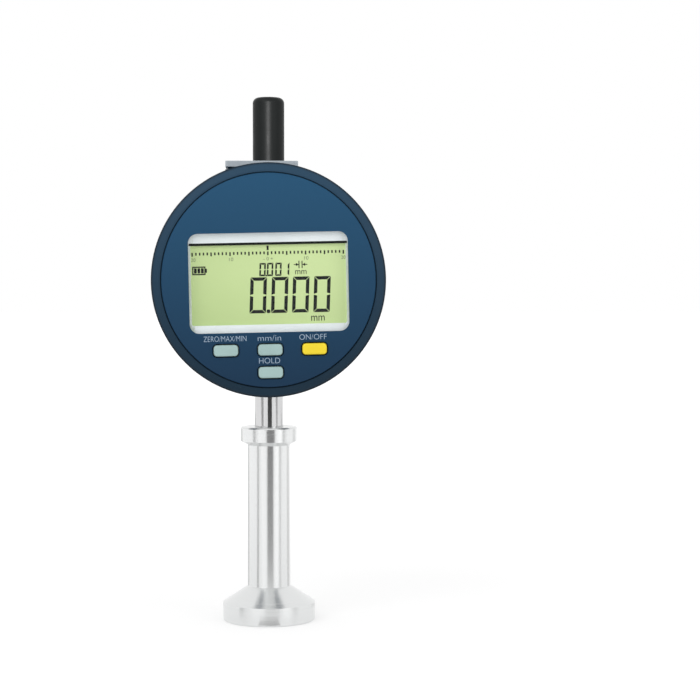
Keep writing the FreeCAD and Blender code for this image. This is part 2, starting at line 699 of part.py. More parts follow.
def head_housing():
    """The round housing: rim, front wall, screw bosses, and the window, key and socket openings."""
    rim_low = HEAD_FRONT + HEAD_RIM_FALL
    shell = turned_dial(
        (0, FACE_SEAT),
        (FACE_POCKET_R, FACE_SEAT),
        (FACE_POCKET_R, HEAD_FRONT),
        (FACE_POCKET_R + HEAD_RIM_FALL, HEAD_FRONT),
        (HEAD_R - HEAD_EDGE_BREAK, rim_low),
        (HEAD_R, rim_low + HEAD_EDGE_BREAK),
        (HEAD_R - HEAD_EDGE_BREAK, HEAD_REAR - HEAD_REAR_TAPER_L),
        (HEAD_REAR_R, HEAD_REAR),
        (HEAD_BORE_R, HEAD_REAR),
        (HEAD_BORE_R, HEAD_INSIDE),
        (0, HEAD_INSIDE),
    )
    bosses = []
    for u, v in head_boss_places():
        bosses.append(rod_y(HEAD_BOSS_R, HEAD_INSIDE, HEAD_BACK_INSIDE, u, v))
        bosses.append(rod_y(HEAD_BOSS_SHOULDER_R, HEAD_INSIDE, BOARD_FRONT, u, v))
    bore = rod_y(HEAD_BORE_R, HEAD_INSIDE, HEAD_REAR)
    shell = shell.fuse([boss.common(bore) for boss in bosses])
    port_y = BOARD_FRONT - SOCKET_H / 2
    port = slab_side(SOCKET_H + 2 * PORT_GAP, SOCKET_W + 2 * PORT_GAP,
                     HEAD_BORE_R - HEAD_BOSS_INSET, HEAD_R, port_y, PORT_CORNER)
    openings = [port, slab(LENS_LIP_W + 2 * LENS_GAP, LENS_LIP_H + 2 * LENS_GAP,
                           FACE_SEAT, HEAD_INSIDE, 0, WINDOW_V, WINDOW_CORNER)]
    for u, v in KEYS.values():
        openings.append(slab(KEY_W + 2 * KEY_FIT, KEY_H + 2 * KEY_FIT, FACE_SEAT, HEAD_INSIDE,
                             u, v, KEY_CORNER + KEY_FIT))
    openings += [screw_hole(HEAD_SCREW, dial_point(u, v, HEAD_REAR), -BACK) for u, v in head_boss_places()]
    return rolled(shell.cut(openings))


def slab_side(depth, height, x0, x1, y, corner):
    """A rounded bar along X, centred on the display's height."""
    opening = block(x0, x1, y - depth / 2, y + depth / 2, DIAL_Z - height / 2, DIAL_Z + height / 2)
    edges = [e for e in opening.Edges if e.BoundBox.XLength > (x1 - x0) / 2]
    return opening.makeFillet(corner, edges)


def face_plate():
    """The coloured face plate with its window and key openings."""
    plate = rod_y(FACE_R, FACE_FRONT, FACE_SEAT)
    openings = [slab(WINDOW_W, WINDOW_H, FACE_FRONT, FACE_SEAT, 0, WINDOW_V, WINDOW_CORNER)]
    for u, v in KEYS.values():
        openings.append(slab(KEY_W + 2 * KEY_FACE_GAP, KEY_H + 2 * KEY_FACE_GAP, FACE_FRONT, FACE_SEAT,
                             u, v, KEY_CORNER + KEY_FACE_GAP))
    return rolled(plate.cut(openings))


def display_lens():
    """The clear lens: it fills the window, and its lip lies behind the face plate."""
    front = slab(WINDOW_W - 2 * LENS_GAP, WINDOW_H - 2 * LENS_GAP, LENS_FRONT, FACE_SEAT,
                 0, WINDOW_V, WINDOW_CORNER - LENS_GAP)
    lip = slab(LENS_LIP_W, LENS_LIP_H, FACE_SEAT, LENS_REAR, 0, WINDOW_V, WINDOW_CORNER)
    return rolled(front.fuse(lip))


def lcd_frame():
    """The white frame round the display glass."""
    frame = slab(LENS_LIP_W, LENS_LIP_H, LENS_REAR, BOARD_FRONT, 0, WINDOW_V, WINDOW_CORNER)
    pocket = slab(LENS_LIP_W - 2 * LCD_FRAME_WALL, LENS_LIP_H - 2 * LCD_FRAME_WALL,
                  LCD_FRONT, BOARD_FRONT, 0, WINDOW_V, LCD_CORNER + SEAT)
    view = slab(LCD_VIEW_W, LCD_VIEW_H, LENS_REAR, LCD_FRONT, 0, LCD_VIEW_V, LCD_VIEW_CORNER)
    return rolled(frame.cut([pocket, view]))


def lcd_size():
    """The display glass's width and height, inside its frame."""
    less = 2 * (LCD_FRAME_WALL + SEAT)
    return LENS_LIP_W - less, LENS_LIP_H - less


def lcd_panel():
    """The liquid crystal display glass."""
    width, height = lcd_size()
    return rolled(slab(width, height, LCD_FRONT, LCD_REAR, 0, WINDOW_V, LCD_CORNER))


def backlight():
    """The light guide behind the display glass."""
    return rolled(slab(LCD_VIEW_W - 2 * BACKLIGHT_INSET, LCD_VIEW_H - 2 * BACKLIGHT_INSET,
                       LCD_REAR, LCD_REAR + BACKLIGHT_THICK, 0, LCD_VIEW_V))


def lcd_connectors():
    """The two rubber connector strips between the display glass and the board."""
    reach = lcd_size()[1] / 2 - STRIP_EDGE - STRIP_H / 2
    places = (WINDOW_V - reach, WINDOW_V + reach)
    return rolled(group([slab(LCD_VIEW_W - 2 * STRIP_INSET, STRIP_H, LCD_REAR, BOARD_FRONT, 0, v)
                         for v in places]))


def main_board():
    """The head's circuit board, notched round the screw bosses."""
    board = rod_y(BOARD_R, BOARD_FRONT, BOARD_REAR)
    notches = [rod_y(HEAD_BOSS_R + HEAD_BOSS_NOTCH, BOARD_FRONT, BOARD_REAR, u, v)
               for u, v in head_boss_places()]
    return rolled(board.cut(notches))


def battery_cell():
    """The flat rechargeable cell behind the board."""
    width, height, thick = BATTERY_SIZE
    return rolled(slab(width, height, BOARD_REAR, BOARD_REAR + thick, *BATTERY_AT, BATTERY_CORNER))


def key_switches():
    """The four dome switches under the keys."""
    switches = []
    for u, v in KEYS.values():
        base_plate = slab(SWITCH_SIDE, SWITCH_SIDE, BOARD_FRONT - SWITCH_THICK, BOARD_FRONT, u, v)
        switches.append(base_plate.fuse(rod_y(SWITCH_DOME_R, SWITCH_TOP, BOARD_FRONT - SWITCH_THICK, u, v)))
    return rolled(group(switches))


def key(u, v):
    """A key: its cap, the flange that keeps it in, and the post that presses its switch."""
    cap = slab(KEY_W, KEY_H, KEY_FRONT, KEY_FLANGE_Y, u, v, KEY_CORNER)
    rim = [e for e in cap.Edges if e.BoundBox.YMax < KEY_FRONT + SEAT]
    cap = cap.makeChamfer(KEY_CHAMFER, rim)
    flange = slab(KEY_W + 2 * KEY_FLANGE, KEY_H + 2 * KEY_FLANGE, KEY_FLANGE_Y, KEY_FLANGE_REAR,
                  u, v, KEY_CORNER)
    post = rod_y(KEY_POST_R, KEY_FLANGE_REAR, KEY_POST_END, u, v)
    return rolled(cap.fuse([flange, post]))


def usb_socket():
    """The data and charging socket: a metal shell with its tongue."""
    x1 = HEAD_R - SOCKET_SUNK
    x0 = x1 - SOCKET_L
    y0 = BOARD_FRONT - SOCKET_H
    half = SOCKET_W / 2
    shell = slab_side(SOCKET_H, SOCKET_W, x0, x1, y0 + SOCKET_H / 2, SOCKET_CORNER)
    cavity = block(x1 - SOCKET_CAVITY_L, x1, y0 + SOCKET_SHELL, BOARD_FRONT - SOCKET_SHELL,
                   DIAL_Z - half + SOCKET_SHELL, DIAL_Z + half - SOCKET_SHELL)
    middle = y0 + SOCKET_H / 2
    tongue = block(x1 - SOCKET_CAVITY_L, x1 - SOCKET_CAVITY_L + SOCKET_TONGUE_L,
                   middle - SOCKET_TONGUE_H / 2, middle + SOCKET_TONGUE_H / 2,
                   DIAL_Z - SOCKET_TONGUE_W / 2, DIAL_Z + SOCKET_TONGUE_W / 2)
    return rolled(shell.cut(cavity).fuse(tongue))


def head_back():
    """The rear disc of the head: swivel journal, seal groove, stop groove and board pads."""
    disc = rod_y(HEAD_BORE_R - SEAT, HEAD_BACK_INSIDE, HEAD_REAR)
    journal = rod_y(SWIVEL_R, HEAD_REAR, SPIGOT_END).cut(rod_y(SWIVEL_BORE_R, HEAD_REAR, SPIGOT_END))
    places = [polar(HEAD_BACK_PAD_AT, angle) for angle in HEAD_BACK_PAD_ANGLES]
    pads = [rod_y(HEAD_BACK_PAD_R, BOARD_REAR, HEAD_BACK_INSIDE, u, v) for u, v in places]
    seal_y = HEAD_REAR - SEAL_DEPTH
    seal_groove = rod_y(SEAL_OUT_R + SEAL_SIDE_GAP, seal_y, HEAD_REAR).cut(
        rod_y(SEAL_IN_R - SEAL_SIDE_GAP, seal_y, HEAD_REAR))
    cuts = [rod_y(FLEX_HOLE_R, HEAD_BACK_INSIDE, HEAD_REAR), seal_groove] + stop_groove()
    cuts += [screw_hole(HEAD_SCREW, dial_point(u, v, HEAD_REAR), -BACK) for u, v in head_boss_places()]
    cuts += [screw_hole(RING_SCREW, dial_point(u, v, RING_REAR), -BACK) for u, v in ring_screw_places()]
    return rolled(disc.fuse([journal] + pads).cut(cuts))


def stop_groove():
    """The round-ended groove that lets the head swivel between its stops, as cutting solids."""
    half_width = STOP_GROOVE_W / 2
    floor = HEAD_REAR - STOP_GROOVE_DEPTH
    ring = rod_y(STOP_R + half_width, floor, HEAD_REAR).cut(rod_y(STOP_R - half_width, floor, HEAD_REAR))
    left = polar(STOP_R + half_width, 90 + SWIVEL_HALF_TURN)
    right = polar(STOP_R + half_width, 90 - SWIVEL_HALF_TURN)
    reach = 2 * STOP_R
    kept = Part.Face(Part.makePolygon([
        dial_point(0, 0, floor),
        dial_point(left[0] * 2, left[1] * 2, floor),
        dial_point(-reach, -2 * reach, floor),
        dial_point(reach, -2 * reach, floor),
        dial_point(right[0] * 2, right[1] * 2, floor),
        dial_point(0, 0, floor),
    ])).extrude(BACK * STOP_GROOVE_DEPTH)
    ends = [polar(STOP_R, 90 + SWIVEL_HALF_TURN), polar(STOP_R, 90 - SWIVEL_HALF_TURN)]
    return [ring.cut(kept)] + [rod_y(half_width, floor, HEAD_REAR, u, v) for u, v in ends]


def ring_screw_places():
    """Where the swivel ring's screws stand."""
    return [polar(RING_SCREW_AT, angle) for angle in RING_SCREW_ANGLES]


def head_screws():
    """The four screws that hold the head's rear disc."""
    return rolled(group([screw(HEAD_SCREW, dial_point(u, v, HEAD_REAR), -BACK) for u, v in head_boss_places()]))


def swivel_ring():
    """The ring behind the case's front wall that keeps the head on."""
    ring = rod_y(SWIVEL_RING_R, SPIGOT_END, RING_REAR).cut(rod_y(SWIVEL_BORE_R, SPIGOT_END, RING_REAR))
    holes = [screw_hole(RING_SCREW, dial_point(u, v, RING_REAR), -BACK) for u, v in ring_screw_places()]
    return rolled(ring.cut(holes))


def swivel_ring_screws():
    """The screws of the swivel ring."""
    return rolled(group([screw(RING_SCREW, dial_point(u, v, RING_REAR), -BACK) for u, v in ring_screw_places()]))


def swivel_seal():
    """The seal ring between the head and the case, seated in the head's groove."""
    front = HEAD_REAR - SEAL_DEPTH
    rear = CASE_FRONT - SEAL_RUN_GAP
    return rolled(rod_y(SEAL_OUT_R, front, rear).cut(rod_y(SEAL_IN_R, front, rear)))


# Plunger

def spindle():
    """The measuring spindle, drilled at its foot for the extension rod's stud."""
    return rod_z(SPINDLE_R, SPINDLE_Z, SPINDLE_TOP).cut(
        rod_z(STUD_R + SEAT, SPINDLE_Z, SPINDLE_Z + STUD_L + STUD_END_GAP))


def extension_rod():
    """The rod that carries the needle tip down through the base."""
    rod = rod_z(SPINDLE_R, ROD_Z, SPINDLE_Z).fuse(rod_z(STUD_R, SPINDLE_Z, SPINDLE_Z + STUD_L))
    return rod.cut(rod_z(STUD_R + SEAT, ROD_Z, ROD_Z + STUD_L + STUD_END_GAP))


def contact_tip():
    """The needle tip, with its point on the floor."""
    cone_h = (TIP_R - TIP_POINT_R) / math.tan(math.radians(TIP_HALF_ANGLE))
    return turned(
        (0, 0),
        (TIP_POINT_R, 0),
        (TIP_R, cone_h),
        (TIP_R, TIP_L),
        (STUD_R, TIP_L),
        (STUD_R, TIP_L + STUD_L),
        (0, TIP_L + STUD_L),
    )


def scale_carrier():
    """The block on the spindle that carries the scale strip, with its guided arm."""
    body = block(-CARRIER_HALF_W, CARRIER_HALF_W, -CARRIER_FRONT, CARRIER_REAR, CARRIER_Z, CARRIER_TOP)
    arm = block(0, ARM_TIP_X, -ARM_HALF_D, ARM_HALF_D, ARM_Z, ARM_Z + ARM_H)
    tip = [e for e in arm.Edges if e.BoundBox.ZLength > ARM_H / 2 and e.BoundBox.XMin > ARM_TIP_X / 2]
    arm = arm.makeFillet(ARM_HALF_D / 2, tip)
    holes = [
        rod_z(SPINDLE_R + SEAT, CARRIER_Z, CARRIER_TOP),
        rod_z(GUIDE_R + FIT, ARM_Z, ARM_Z + ARM_H, GUIDE_X),
        screw_hole(CARRIER_SCREW, carrier_screw_point(), RIGHT),
    ]
    return body.fuse(arm).cut(holes)


def carrier_screw_point():
    """Where the carrier's clamp screw enters, on its left side."""
    return FreeCAD.Vector(-CARRIER_HALF_W, 0, CARRIER_TOP - CARRIER_SCREW_DOWN)


def carrier_screw():
    """The screw that clamps the carrier to the spindle."""
    return screw(CARRIER_SCREW, carrier_screw_point(), RIGHT)


def scale_strip():
    """The glass scale on the carrier's rear face."""
    return block(-SCALE_W / 2, SCALE_W / 2, CARRIER_REAR, SCALE_REAR,
                 CARRIER_Z + SCALE_END, CARRIER_TOP - SCALE_END)


def return_spring():
    """The compression spring between the upper bush's flange and the carrier."""
    length = FLANGE_Z - CARRIER_TOP - SPRING_WIRE
    pitch = length / SPRING_TURNS
    middle_r = SPRING_IN_R + SPRING_WIRE / 2
    helix = Part.makeHelix(pitch, length, middle_r)
    half = SPRING_WIRE / 2
    section = Part.makePolygon([
        FreeCAD.Vector(middle_r - half, 0, -half),
        FreeCAD.Vector(middle_r + half, 0, -half),
        FreeCAD.Vector(middle_r + half, 0, half),
        FreeCAD.Vector(middle_r - half, 0, half),
        FreeCAD.Vector(middle_r - half, 0, -half),
    ])
    coil = Part.Wire(helix.Edges).makePipeShell([Part.Wire(section.Edges)], True, True)
    coil.translate(FreeCAD.Vector(0, 0, CARRIER_TOP + half))
    return coil


# Every piece, written to a file of its own

def pieces():
    """All pieces by name."""
    made = {
        "base": base(),
        "clamp_screw": clamp_screw(),
        "stem": stem(),
        "lower_bush": lower_bush(),
        "upper_bush": upper_bush(),
        "buffer_washer": buffer_washer(),
        "rear_case": rear_case(),
        "back_cover": back_cover(),
        "back_screws": back_screws(),
        "top_plate": top_plate(),
        "plate_screws": plate_screws(),
        "spindle_cap": spindle_cap(),
        "guide_post": guide_post(),
        "swivel_stop_pin": swivel_stop_pin(),
        "reader_board": reader_board(),
        "reader_screws": reader_screws(),
        "reader_chips": chips(READER_CHIPS, READER_REAR),
        "return_spring": return_spring(),
        "head_housing": head_housing(),
        "face_plate": face_plate(),
        "display_lens": display_lens(),
        "lcd_frame": lcd_frame(),
        "lcd_panel": lcd_panel(),
        "backlight": backlight(),
        "lcd_connectors": lcd_connectors(),
        "main_board": main_board(),
        "board_chips": rolled(chips(HEAD_CHIPS, BOARD_REAR)),
        "battery_cell": battery_cell(),
        "key_switches": key_switches(),
        "usb_socket": usb_socket(),
        "head_back": head_back(),
        "head_screws": head_screws(),
        "swivel_ring": swivel_ring(),
        "swivel_ring_screws": swivel_ring_screws(),
        "swivel_seal": swivel_seal(),
        "spindle": spindle(),
        "extension_rod": extension_rod(),
        "contact_tip": contact_tip(),
        "scale_carrier": scale_carrier(),
        "carrier_screw": carrier_screw(),
        "scale_strip": scale_strip(),
    }
    for name, (u, v) in KEYS.items():
        made[name] = key(u, v)
    return made


def main():
    """Writes every piece."""
    os.makedirs("parts", exist_ok=True)
    for name, shape in pieces().items():
        shape.exportStep(f"parts/{name}.step")


main()
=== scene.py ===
"""Looks of a surface profile gauge: turned steel base, chromed stem, painted head and its display.

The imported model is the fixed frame. The pieces that show are modelled here in millimetres and brought
into the frame when they are finished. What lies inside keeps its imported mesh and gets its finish.
"""

from __future__ import annotations

import json
import logging
import math
from contextlib import contextmanager
from dataclasses import dataclass
from enum import Enum
from typing import Callable, Iterator, Sequence

import bpy
from mathutils import Matrix, Vector

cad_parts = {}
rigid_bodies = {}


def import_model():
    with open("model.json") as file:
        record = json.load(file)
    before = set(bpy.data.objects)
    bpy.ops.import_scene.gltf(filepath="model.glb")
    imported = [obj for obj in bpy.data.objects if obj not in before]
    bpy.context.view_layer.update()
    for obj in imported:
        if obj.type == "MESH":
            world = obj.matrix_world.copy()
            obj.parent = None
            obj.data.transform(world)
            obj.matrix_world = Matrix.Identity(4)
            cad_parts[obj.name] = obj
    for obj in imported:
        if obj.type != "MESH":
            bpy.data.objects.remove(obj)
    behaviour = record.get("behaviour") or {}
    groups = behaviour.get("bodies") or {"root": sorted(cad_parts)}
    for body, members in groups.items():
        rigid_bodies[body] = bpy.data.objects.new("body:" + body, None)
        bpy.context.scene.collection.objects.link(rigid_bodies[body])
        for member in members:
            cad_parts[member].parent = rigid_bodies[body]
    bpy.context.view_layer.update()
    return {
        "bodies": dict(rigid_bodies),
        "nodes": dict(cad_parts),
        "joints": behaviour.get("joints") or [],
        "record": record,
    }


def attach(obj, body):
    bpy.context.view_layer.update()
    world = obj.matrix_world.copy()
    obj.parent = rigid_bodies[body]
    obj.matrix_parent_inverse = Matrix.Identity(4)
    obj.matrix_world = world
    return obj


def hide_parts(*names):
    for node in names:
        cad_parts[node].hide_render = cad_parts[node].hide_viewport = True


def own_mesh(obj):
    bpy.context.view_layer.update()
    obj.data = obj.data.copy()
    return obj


LOG = logging.getLogger("gauge")

MM = 0.001
DIAL_HEIGHT = 95.6
FACE_ROLL = math.radians(1.2)

Triple = tuple[float, float, float]
Point = tuple[float, float]
Feeds = dict[str | int, object]
Socket = bpy.types.NodeSocket
Piece = bpy.types.Object
PieceTest = Callable[[Vector, Vector], bool]


class Stand(Enum):
    """Where a piece's own millimetres start: at the foot's underside, or at the display's centre."""

    FOOT = "foot"
    FACE = "face"


class Lies(Enum):
    """Which way a turned piece lies."""

    UPRIGHT = "upright"
    REARWARD = "rearward"


class Select(Enum):
    """What edit mode picks."""

    EDGES = "EDGE"
    FACES = "FACE"


class Join(Enum):
    """What a second solid does to the first."""

    CUT = "DIFFERENCE"
    ADD = "UNION"


def shade(red: int, green: int, blue: int) -> Triple:
    """Turns a colour as a screen shows it into the scene's own linear values.

    Args:
        red: Its red, from 0 to 255.
        green: Its green.
        blue: Its blue.

    Returns:
        The linear values, from 0 to 1.
    """
    parts = []
    for part in (red, green, blue):
        share = part / 255
        parts.append(share / 12.92 if share <= 0.04045 else ((share + 0.055) / 1.055) ** 2.4)
    return parts[0], parts[1], parts[2]


def put(owner: object, **settings: object) -> None:
    """Sets properties of a node, a modifier, a lamp or an object."""
    for name, value in settings.items():
        setattr(owner, name, value)


def shift(place: Point) -> Matrix:
    """Returns the move from the display's centre to a place on the display's plane."""
    return Matrix.Translation((place[0], 0, place[1]))


# Node trees


class Wiring:
    """A node tree in the making: each node is added with what feeds it."""

    def __init__(self, owner: bpy.types.Material | bpy.types.World) -> None:
        """Gives a material or a world its tree."""
        owner.use_nodes = True
        self.tree = owner.node_tree

    def feed(self, node: bpy.types.Node, feeds: Feeds) -> None:
        """Feeds a node's inputs.

        Args:
            node: The node.
            feeds: By each input's name or number, its value or the output that is joined to it.
        """
        for name, value in feeds.items():
            target = node.inputs[name]
            if isinstance(value, Socket):
                self.tree.links.new(value, target)
            else:
                target.default_value = (*value, 1.0) if target.type == "RGBA" else value

    def add(self, kind: str, feeds: Feeds | None = None, out: str | int = 0, **settings: object) -> Socket:
        """Adds a node.

        Args:
            kind: The node's type, without the words that all types start with.
            feeds: What feeds its inputs.
            out: The name or number of the output that is wanted.
            settings: The node's own properties.

        Returns:
            That output.
        """
        node = self.tree.nodes.new("ShaderNode" + kind)
        put(node, **settings)
        self.feed(node, feeds or {})
        return node.outputs[out]

    def spread(self, pattern: Socket, low: float, high: float,
               start: float = 0.3, end: float = 0.7) -> Socket:
        """Returns a pattern spread between two values: low where it is at its start, high at its end."""
        ends = {"From Min": start, "From Max": end, "To Min": low, "To Max": high}
        return self.add("MapRange", {"Value": pattern, **ends})


class Recipe(Wiring):
    """A piece's material in the making."""

    TITLE = "finish_"

    def __init__(self, name: str) -> None:
        """Starts a finish's material.

        Args:
            name: The finish's name.
        """
        self.material = bpy.data.materials.new(self.TITLE + name)
        super().__init__(self.material)
        self.shader = self.tree.nodes["Principled BSDF"]
        self.place = self.add("TexCoord", out="Object")

    def fix(self, **feeds: object) -> None:
        """Feeds the shader's inputs; an underscore in a name stands for a space."""
        self.feed(self.shader, {name.replace("_", " "): value for name, value in feeds.items()})

    def noise(self, grain: float, detail: float = 2.0, stretch: Triple = (1.0, 1.0, 1.0)) -> Socket:
        """Returns a noise from 0 to 1, its grain in millimetres, repeated along each axis by its stretch."""
        place = self.add("Mapping", {"Vector": self.place, "Scale": stretch})
        return self.add("TexNoise", {"Vector": place, "Scale": 1 / (grain * MM), "Detail": detail})

    def radius(self, place: Socket, across: Triple) -> Socket:
        """Returns how far a place lies from an axis, which across gives as 0 and the rest as 1."""
        flat = self.add("VectorMath", {0: place, 1: across}, operation="MULTIPLY")
        return self.add("VectorMath", {0: flat}, "Value", operation="LENGTH")

    def rings(self, pitch: float) -> Socket:
        """Adds the fine rings that a lathe leaves round an upright axis.

        Args:
            pitch: The size of a ring, in millimetres.

        Returns:
            The pattern, from 0 to 1.
        """
        height = self.add("SeparateXYZ", {"Vector": self.place}, "Z")
        place = self.add("CombineXYZ", {"X": self.radius(self.place, (1.0, 1.0, 0.0)), "Z": height})
        return self.add("TexNoise", {"Vector": place, "Scale": 1 / (pitch * MM), "Detail": 3.0})

    def blend(self, factor: Socket, first: Triple, second: Triple | Socket) -> Socket:
        """Blends two colours by a pattern and returns the blend."""
        return self.add("Mix", {0: factor, 6: first, 7: second}, 2, data_type="RGBA")

    def tint(self, colour: Triple, change: float, factor: Socket) -> None:
        """Gives the shader a colour that a pattern darkens and lightens.

        Args:
            colour: The colour.
            change: By what share it changes.
            factor: The pattern.
        """
        darker = tuple(part * (1 - change) for part in colour)
        lighter = tuple(min(1.0, part * (1 + change)) for part in colour)
        self.fix(Base_Color=self.blend(factor, darker, lighter))

    def wander(self, pattern: Socket, roughness: float, change: float) -> None:
        """Lets the shader's roughness wander round a value with a pattern."""
        self.fix(Roughness=self.spread(pattern, max(0.02, roughness - change), roughness + change))

    def relief(self, pattern: Socket, depth: float, strength: float = 1.0) -> None:
        """Gives the shader a relief of a depth in millimetres, felt by its strength."""
        self.fix(Normal=self.add("Bump", {"Height": pattern, "Strength": strength, "Distance": depth * MM}))


# Finishes


@dataclass(frozen=True)
class Finish:
    """What every finish has, and how a piece gets it."""

    name: str
    colour: Triple
    roughness: float

    def material(self) -> bpy.types.Material:
        """Finds the finish's material, or makes it at its first use.

        Returns:
            The material.
        """
        made = bpy.data.materials.get(Recipe.TITLE + self.name)
        if made is None:
            recipe = Recipe(self.name)
            self.mix(recipe)
            made = recipe.material
        return made

    def mix(self, recipe: Recipe) -> None:
        """Gives the recipe its nodes."""
        raise NotImplementedError

    def coat(self, piece: Piece) -> None:
        """Gives all of a piece this finish.

        Args:
            piece: The piece.
        """
        material = self.material()
        if not piece.data.materials:
            piece.data.materials.append(material)
        for place in piece.material_slots:
            place.material = material


@dataclass(frozen=True)
class Moulded(Finish):
    """Moulded or painted plastic with a fine eggshell grain, and a glow where one is given, which is painted
    light.
    """

    grain: float = 0.35
    depth: float = 0.012
    gloss: float = 0.35
    # painted light: an emission that lifts a part out of shade
    glow: float = 0.0
    blotch: float = 9.0
    patch: float = 3.0

    def mix(self, recipe: Recipe) -> None:
        """Adds faint blotches, an even grain and a roughness that wanders a little.

        Args:
            recipe: The material in the making.
        """
        recipe.tint(self.colour, 0.05, recipe.spread(recipe.noise(self.blotch, 3.0), 0.0, 1.0))
        recipe.wander(recipe.noise(self.patch, 3.0), self.roughness, 0.04)
        recipe.relief(recipe.noise(self.grain), self.depth, 0.6)
        recipe.fix(Specular_IOR_Level=self.gloss, Emission_Color=self.colour, Emission_Strength=self.glow)


@dataclass(frozen=True)
class HeadPaintAndShade(Finish):
    """The head's satin paint with painted shade: lighter at the top and darker at the bottom, as light from
    above falls, and darker round the outer edge, where the rounded rim lies in shade.
    """

    lower: Triple = (0.0, 0.0, 0.0)
    gloss: float = 0.1
    grain: float = 0.2
    depth: float = 0.004
    patch: float = 2.0
    fade_reach: float = 27.0
    edge_start: float = 40.0
    edge_end: float = 41.0
    edge_shade_share: float = 0.33

    def mix(self, recipe: Recipe) -> None:
        """Adds a painted fade by height, a painted shaded edge by radius and a fine grain.

        Args:
            recipe: The material in the making.
        """
        centre = (0.0, 0.0, DIAL_HEIGHT * MM)
        place = recipe.add("VectorMath", {0: recipe.place, 1: centre}, operation="SUBTRACT")
        height = recipe.add("SeparateXYZ", {"Vector": place}, "Z")
        # painted light: the colour fades from the lower colour to the upper one with height, as light from
        # above falls; on the face it is partly a printed gradient
        fade = recipe.spread(height, 0.0, 1.0, -self.fade_reach * MM, self.fade_reach * MM)
        radius = recipe.radius(place, (1.0, 0.0, 1.0))
        # painted shade: the colour darkens towards the outer edge, where the rounded rim lies in shade
        inner = recipe.spread(radius, 1.0, 0.0, self.edge_start * MM, self.edge_end * MM)
        edge = tuple(part * self.edge_shade_share for part in self.lower)
        recipe.fix(Base_Color=recipe.blend(inner, edge, recipe.blend(fade, self.lower, self.colour)))
        recipe.wander(recipe.noise(self.patch, 3.0), self.roughness, 0.03)
        recipe.relief(recipe.noise(self.grain, 1.0), self.depth, 0.5)
        recipe.fix(Specular_IOR_Level=self.gloss)


@dataclass(frozen=True)
class Turned(Finish):
    """Bright metal with the fine rings that the lathe leaves."""

    pitch: float = 0.14
    gloss_pitch: float = 0.3
    colour_pitch: float = 0.5
    depth: float = 0.002
    drawn: float = 0.7

    def mix(self, recipe: Recipe) -> None:
        """Adds rings to the relief, the roughness and the colour, and draws the gloss out round them.

        Args:
            recipe: The material in the making.
        """
        recipe.tint(self.colour, 0.015, recipe.spread(recipe.rings(self.colour_pitch), 0.0, 1.0))
        recipe.wander(recipe.rings(self.gloss_pitch), self.roughness, 0.04)
        recipe.relief(recipe.rings(self.pitch), self.depth, 0.5)
        tangent = recipe.add("Tangent", direction_type="RADIAL", axis="Z")
        recipe.fix(Tangent=tangent, Metallic=1.0, Anisotropic=self.drawn, Anisotropic_Rotation=0.25)


@dataclass(frozen=True)
class Ground(Finish):
    """Ground, chromed or plated metal with fine marks that run one way."""

    stretch: Triple = (1.0, 1.0, 8.0)
    marks: float = 0.3
    depth: float = 0.001

    def mix(self, recipe: Recipe) -> None:
        """Adds drawn-out marks to the colour, the roughness and a shallow relief.

        Args:
            recipe: The material in the making.
        """
        marks = recipe.noise(self.marks, 3.0, self.stretch)
        recipe.tint(self.colour, 0.03, recipe.spread(marks, 0.0, 1.0))
        recipe.wander(marks, self.roughness, 0.04)
        recipe.relief(marks, self.depth, 0.4)
        recipe.fix(Metallic=1.0)


@dataclass(frozen=True)
class Clear(Finish):
    """Clear moulded plastic over the display."""

    veil: float = 0.1
    haze: float = 0.015
    patch: float = 6.0
    bending: float = 1.49

    def mix(self, recipe: Recipe) -> None:
        """Makes it almost see-through, with a faint haze in its gloss."""
        recipe.wander(recipe.noise(self.patch), self.roughness + self.haze, self.haze)
        recipe.fix(Base_Color=self.colour, Alpha=self.veil, IOR=self.bending)


@dataclass(frozen=True)
class Display(Finish):
    """The display's green glass, a little darker towards its left and its bottom, with a glow that is painted
    light: it keeps the glass bright in the shade of the window's recess.
    """

    edge: Triple = (0.0, 0.0, 0.0)
    gloss: float = 0.1
    glow: float = 0.12
    patch: float = 1.0
    left: float = -22.0
    right: float = 8.0
    low: float = DIAL_HEIGHT - 14.0
    high: float = DIAL_HEIGHT + 2.0

    def mix(self, recipe: Recipe) -> None:
        """Adds a painted glow that falls off towards the lower left.

        Args:
            recipe: The material in the making.
        """
        halves = []
        for axis, start, end in (("X", self.left, self.right), ("Z", self.low, self.high)):
            place = recipe.add("SeparateXYZ", {"Vector": recipe.place}, axis)
            halves.append(recipe.spread(place, 0.0, 0.5, start * MM, end * MM))
        both = recipe.add("Math", {0: halves[0], 1: halves[1]}, operation="ADD")
        colour = recipe.blend(both, self.edge, self.colour)
        # painted light: the emission keeps the display bright in the shade of the window's recess
        recipe.fix(Base_Color=colour, Emission_Color=colour, Emission_Strength=self.glow)
        recipe.wander(recipe.noise(self.patch), self.roughness, 0.03)
        recipe.fix(Specular_IOR_Level=self.gloss)


@dataclass(frozen=True)
class Lacquered(Finish):
    """A circuit board's lacquer, with its tracks faintly raised."""

    track_pitch: float = 2.2

    def mix(self, recipe: Recipe) -> None:
        """Adds tracks as a cell pattern in the colour and the relief.

        Args:
            recipe: The material in the making.
        """
        cells = {"Vector": recipe.place, "Scale": 1 / (self.track_pitch * MM)}
        tracks = recipe.add("TexVoronoi", cells, "Distance", feature="DISTANCE_TO_EDGE", distance="MANHATTAN")
        raised = recipe.spread(tracks, 1.0, 0.0, 0.06, 0.1)
        recipe.tint(self.colour, 0.25, raised)
        recipe.relief(raised, 0.03)
        recipe.fix(Roughness=self.roughness)


# The finish of each slot of the record, its colour matched to the photograph

